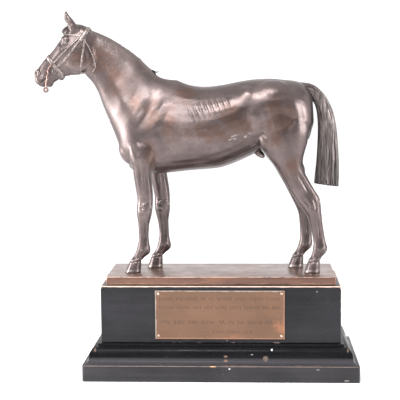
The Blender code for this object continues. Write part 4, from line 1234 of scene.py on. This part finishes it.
def moulding(finish):
    """The ogee run round the block's foot, mitred at the corners."""
    bm = bmesh.new()
    loops = []
    for out, height in moulding_profile():
        ring = bmesh.ops.create_circle(bm, segments=4, radius=1.0)["verts"]
        for vert, (side_x, side_y) in zip(ring, ((1, 1), (-1, 1), (-1, -1), (1, -1))):
            vert.co.x = side_x * (BLOCK_HIGH.x + out)
            vert.co.y = side_y * (BLOCK_HIGH.y + out)
            vert.co.z = MOULDING_LOW.z + height
        loops.append(ring_edges(ring))
    bridged(bm, loops)
    mesh = mesh_from(bm, "moulding", sharp_angle=35)
    piece("ogee_moulding", mesh, finish, ["plinth_moulding"])


# The plaque: a sheet of small squares, pressed in where the strokes are

PLAQUE_CELL = 0.40 * MM
STROKE_DEPTH = 0.12 * MM
STROKE_HALF = 0.30
# Rows of strokes: height from the plaque's middle, from and to along it, stroke height
STROKE_ROWS = [(14.2, -52.0, 52.5, 2.7), (6.6, -52.0, 52.5, 2.5), (-6.4, -51.0, 53.0, 2.9),
               (-14.9, -6.0, 29.5, 2.4)]


def stroke_marks():
    """Short upright and slanting strokes in word-long groups, by seeded chance."""
    chance = random.Random(5)
    marks = []
    for height, start, end, tall in STROKE_ROWS:
        x = start
        left_in_word = chance.randint(4, 8)
        while x < end:
            if left_in_word == 0:
                x += 2.4
                left_in_word = chance.randint(3, 9)
                continue
            lean = chance.choice((-0.45, 0.0, 0.0, 0.0, 0.45))
            reach = tall * chance.choice((0.38, 0.5, 0.5, 0.44))
            shift = chance.uniform(-0.12, 0.12)
            marks.append(((x - lean, height - reach + shift), (x + lean, height + reach + shift)))
            x += chance.uniform(1.2, 1.9)
            left_in_word -= 1
    return marks


def plaque(finish):
    """The engraved sheet with its wavering edge and shallow strokes."""
    bm = bmesh.new()
    size = PLAQUE_HIGH - PLAQUE_LOW
    middle = (PLAQUE_LOW + PLAQUE_HIGH) / 2
    place = Matrix.Translation((middle.x, PLAQUE_LOW.y, middle.z))
    place = place @ Matrix.Rotation(math.radians(90), 4, "X")
    place = place @ Matrix.Diagonal((size.x / 2, size.z / 2, 1.0, 1.0))
    bmesh.ops.create_grid(bm, x_segments=round(size.x / PLAQUE_CELL),
                          y_segments=round(size.z / PLAQUE_CELL), size=1.0, matrix=place)
    rim = [e for e in bm.edges if e.is_boundary]
    walls = bmesh.ops.extrude_edge_only(bm, edges=rim)["geom"]
    back = [g for g in walls if isinstance(g, bmesh.types.BMVert)]
    bmesh.ops.translate(bm, verts=back, vec=(0.0, size.y, 0.0))
    bmesh.ops.contextual_create(bm, geom=[g for g in walls if isinstance(g, bmesh.types.BMEdge)])
    mesh = mesh_from(bm, "plaque_sheet", sharp_angle=50)
    skin = Skin(mesh)
    x = (skin.points[:, 0] - middle.x) / MM
    z = (skin.points[:, 2] - middle.z) / MM
    front = skin.points[:, 1] < PLAQUE_LOW.y + 0.05 * MM
    pressed = np.zeros(len(x))
    for (x0, z0), (x1, z1) in stroke_marks():
        beside = np.abs(x - (x0 + x1) / 2) < 1.5
        level = np.abs(z - (z0 + z1) / 2) < 3.0
        near = np.flatnonzero(front & beside & level)
        span = np.array((x1 - x0, z1 - z0))
        spot = np.stack([x[near] - x0, z[near] - z0], axis=1)
        share = np.clip(spot @ span / (span @ span), 0.0, 1.0)
        off = np.linalg.norm(spot - share[:, None] * span, axis=1) / STROKE_HALF
        pressed[near] = np.maximum(pressed[near], np.clip(1.3 - off, 0.0, 1.0))
    wave = np.sin(x * 0.61) * np.cos(z * 0.47) + 0.5 * np.sin(x * 1.7 + z)
    sunk = pressed * STROKE_DEPTH + 0.02 * MM * (1.5 + wave)
    skin.points[:, 1] += np.where(front, sunk, 0.0)
    skin.refresh()
    layer = mesh.attributes.new("stroke", "FLOAT", "POINT")
    layer.data.foreach_set("value", pressed.astype(np.float32))
    piece("engraved_plaque", mesh, finish, ["plaque"])


# The stage

def floor():
    """A pale floor under the trophy."""
    bm = bmesh.new()
    bmesh.ops.create_grid(bm, x_segments=1, y_segments=1, size=40.0)
    made = placed("pale_floor", mesh_from(bm, "pale_floor"))
    finish = Finish("pale_floor", 0.9, 0.0, specular=0.2)
    finish.base = (0.95, 0.948, 0.95)
    dress(made.data, finish.finished())


def softbox(name, place, aim, size, power):
    """A soft light that looks at a point."""
    lamp = bpy.data.lights.new(name, "AREA")
    lamp.shape = "RECTANGLE"
    lamp.size, lamp.size_y = size
    lamp.energy = power
    made = placed(name, lamp)
    made.location = place
    made.rotation_euler = (Vector(aim) - Vector(place)).to_track_quat("-Z", "Y").to_euler()


def surroundings():
    """A white tent all round, greyer towards the front."""
    world = bpy.data.worlds.new("white_tent")
    world.use_nodes = True
    tree = world.node_tree
    back = tree.nodes["Background"]
    place = tree.nodes.new("ShaderNodeTexCoord")
    split = tree.nodes.new("ShaderNodeSeparateXYZ")
    tree.links.new(place.outputs["Generated"], split.inputs["Vector"])
    front = tree.nodes.new("ShaderNodeMapRange")
    front.interpolation_type = "SMOOTHSTEP"
    tree.links.new(split.outputs["Y"], front.inputs["Value"])
    for socket, value in (("From Min", -1.0), ("From Max", 0.05),
                          ("To Min", 0.33), ("To Max", 1.3)):
        front.inputs[socket].default_value = value
    tree.links.new(front.outputs["Result"], back.inputs["Strength"])
    back.inputs["Color"].default_value = (1.0, 0.995, 1.0, 1.0)
    bpy.context.scene.world = world


FOCAL_PIXELS = 1100.0
FRAME_PIXELS = 400.0
CAMERA_PLACE = (0.03120, -0.97586, 0.26017)
CAMERA_YAW, CAMERA_PITCH, CAMERA_ROLL = -2.936, 6.334, -0.4895


def camera():
    """The photograph's viewpoint, fitted to the plinth's edges."""
    yaw, pitch, roll = (math.radians(a) for a in (CAMERA_YAW, CAMERA_PITCH, CAMERA_ROLL))
    forward = Vector((math.sin(yaw) * math.cos(pitch), math.cos(yaw) * math.cos(pitch),
                      -math.sin(pitch)))
    right = Vector((math.cos(yaw), -math.sin(yaw), 0.0))
    up = right.cross(forward)
    level = right * math.cos(roll) + up * math.sin(roll)
    upright = up * math.cos(roll) - right * math.sin(roll)
    lens = bpy.data.cameras.new("camera")
    lens.sensor_width = 36.0
    lens.lens = lens.sensor_width * FOCAL_PIXELS / FRAME_PIXELS
    lens.clip_start, lens.clip_end = 0.01, 200.0
    made = placed("camera", lens)
    turned = Matrix((level, upright, -forward)).transposed().to_4x4()
    turned.translation = Vector(CAMERA_PLACE)
    made.matrix_world = turned
    bpy.context.scene.camera = made


camera()
floor()
surroundings()
bpy.context.scene.view_settings.view_transform = "Standard"
softbox("left_softbox", (-1.40, -0.30, 0.30), (-0.05, 0.0, 0.18), (0.7, 0.8), 28.0)
softbox("right_softbox", (1.30, -0.70, 0.45), (0.05, 0.0, 0.2), (0.36, 0.8), 13.0)
softbox("front_softbox", (-0.50, -0.95, 0.80), (0.0, 0.0, 0.23), (0.32, 0.58), 9.0)
softbox("top_softbox", (-0.12, -0.78, 1.08), (0.02, 0.0, 0.24), (0.24, 0.22), 8.0)

casting = casting_mesh()
skin_tree = BVHTree.FromPolygons([v.co for v in casting.vertices],
                                 [tuple(p.vertices) for p in casting.polygons])
bridle = gathered("bridle", bridle_shells(skin_tree))
rings = gathered("rings", ring_shells(skin_tree))
eyes = gathered("eyes", eye_shells(skin_tree))
paint_casting(casting, [v.co for mesh in (bridle, rings, eyes) for v in mesh.vertices])
PATINA = patina()
piece("horse_casting", casting, PATINA, ["horse"])
EYE_BRONZE = rubbed_copper("eye_bronze", (0.15, 0.125, 0.12), (0.21, 0.18, 0.17), 0.36)
piece("horse_eyes", eyes, EYE_BRONZE)
HAIR = hair_bronze()
piece("tail_strands", gathered("tail", tail_shells()), HAIR)
piece("mane", gathered("mane", mane_shells(skin_tree)), HAIR)
piece("forelock", gathered("forelock", forelock_shells()), HAIR)
STRAP = strap_bronze()
piece("bridle_straps", bridle, STRAP)
piece("bridle_rings", rings, STRAP)
COPPER = rubbed_copper("rubbed_copper", (0.20, 0.125, 0.105), (0.32, 0.21, 0.18), 0.42)

PINK_WEAR = (0.62, 0.43, 0.36)
BROWN_SPOT = (0.16, 0.10, 0.075)
CHIP = (0.62, 0.58, 0.55)
# Marks on the front of the wood: x, height, half length, half height, colour
BLOCK_MARKS = [(83.4, 76.4, 0.8, 0.5, (0.2, 0.18, 0.18)), (5.6, 33.3, 0.6, 0.5, (0.2, 0.18, 0.18))]
MOULDING_MARKS = [
    (4.7, 21.4, 1.8, 1.0, BROWN_SPOT), (4.8, 17.8, 2.0, 1.1, BROWN_SPOT),
    (39.0, 19.7, 2.4, 2.4, (0.13, 0.100, 0.085)), (27.3, 23.1, 1.2, 0.4, (0.25, 0.22, 0.21)),
    (44.3, 26.9, 0.9, 0.8, CHIP), (-108.7, 26.4, 1.0, 1.6, (0.11, 0.072, 0.060)),
    (109.5, 26.5, 1.0, 1.6, (0.11, 0.072, 0.060))]
SLAB_MARKS = [
    (8.0, 12.0, 0.9, 0.7, CHIP), (108.2, 2.1, 2.4, 0.35, (0.35, 0.33, 0.32)),
    (83.6, 11.6, 1.6, 0.3, (0.30, 0.28, 0.27)), (-6.1, 13.9, 3.0, 0.5, (0.55, 0.30, 0.16))]

board("copper_plate", PLATE_LOW, PLATE_HIGH, 1.3 * MM, 0.4 * MM, plate_copper(),
      ["bronze_plate"])
block_finish = black_wood(
    "ebonised_block", BLOCK_LOW, BLOCK_HIGH, (0.017, 0.016, 0.019), PINK_WEAR, 0.5 * MM,
    top_line=0.9 * MM, specular=0.22, marks=BLOCK_MARKS)
board("black_block", BLOCK_LOW, BLOCK_HIGH, 1.0 * MM, 0.5 * MM, block_finish,
      ["plinth_block"])
# The moulding's foot is given a painted light where its flare faces up
moulding(black_wood(
    "ebonised_moulding", MOULDING_LOW, MOULDING_HIGH, (0.007, 0.007, 0.008),
    (0.17, 0.095, 0.075), 0.8 * MM, gloss=0.25, grain_bump=0.06, specular=0.06,
    painted_foot_light=(0.042, 0.040, 0.044), marks=MOULDING_MARKS))
slab_finish = black_wood(
    "ebonised_slab", SLAB_LOW, SLAB_HIGH, (0.027, 0.025, 0.028), (0.15, 0.115, 0.105),
    0.7 * MM, gloss=0.46, top_line=0.7 * MM, specular=0.28, marks=SLAB_MARKS)
board("black_slab", SLAB_LOW, SLAB_HIGH, 2.5 * MM, 0.9 * MM, slab_finish,
      ["plinth_slab"])
plaque(plaque_copper())

# The bit cheeks and the pins show as their own solids
for name in ("curb_cheek_near", "curb_cheek_off"):
    dress(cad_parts[name].data, COPPER)
PIN_FINISH = rubbed_copper("pin_copper", (0.34, 0.25, 0.20), (0.55, 0.45, 0.38), 0.36)
for number in range(1, 5):
    dress(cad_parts[f"plaque_pin_{number}"].data, PIN_FINISH)
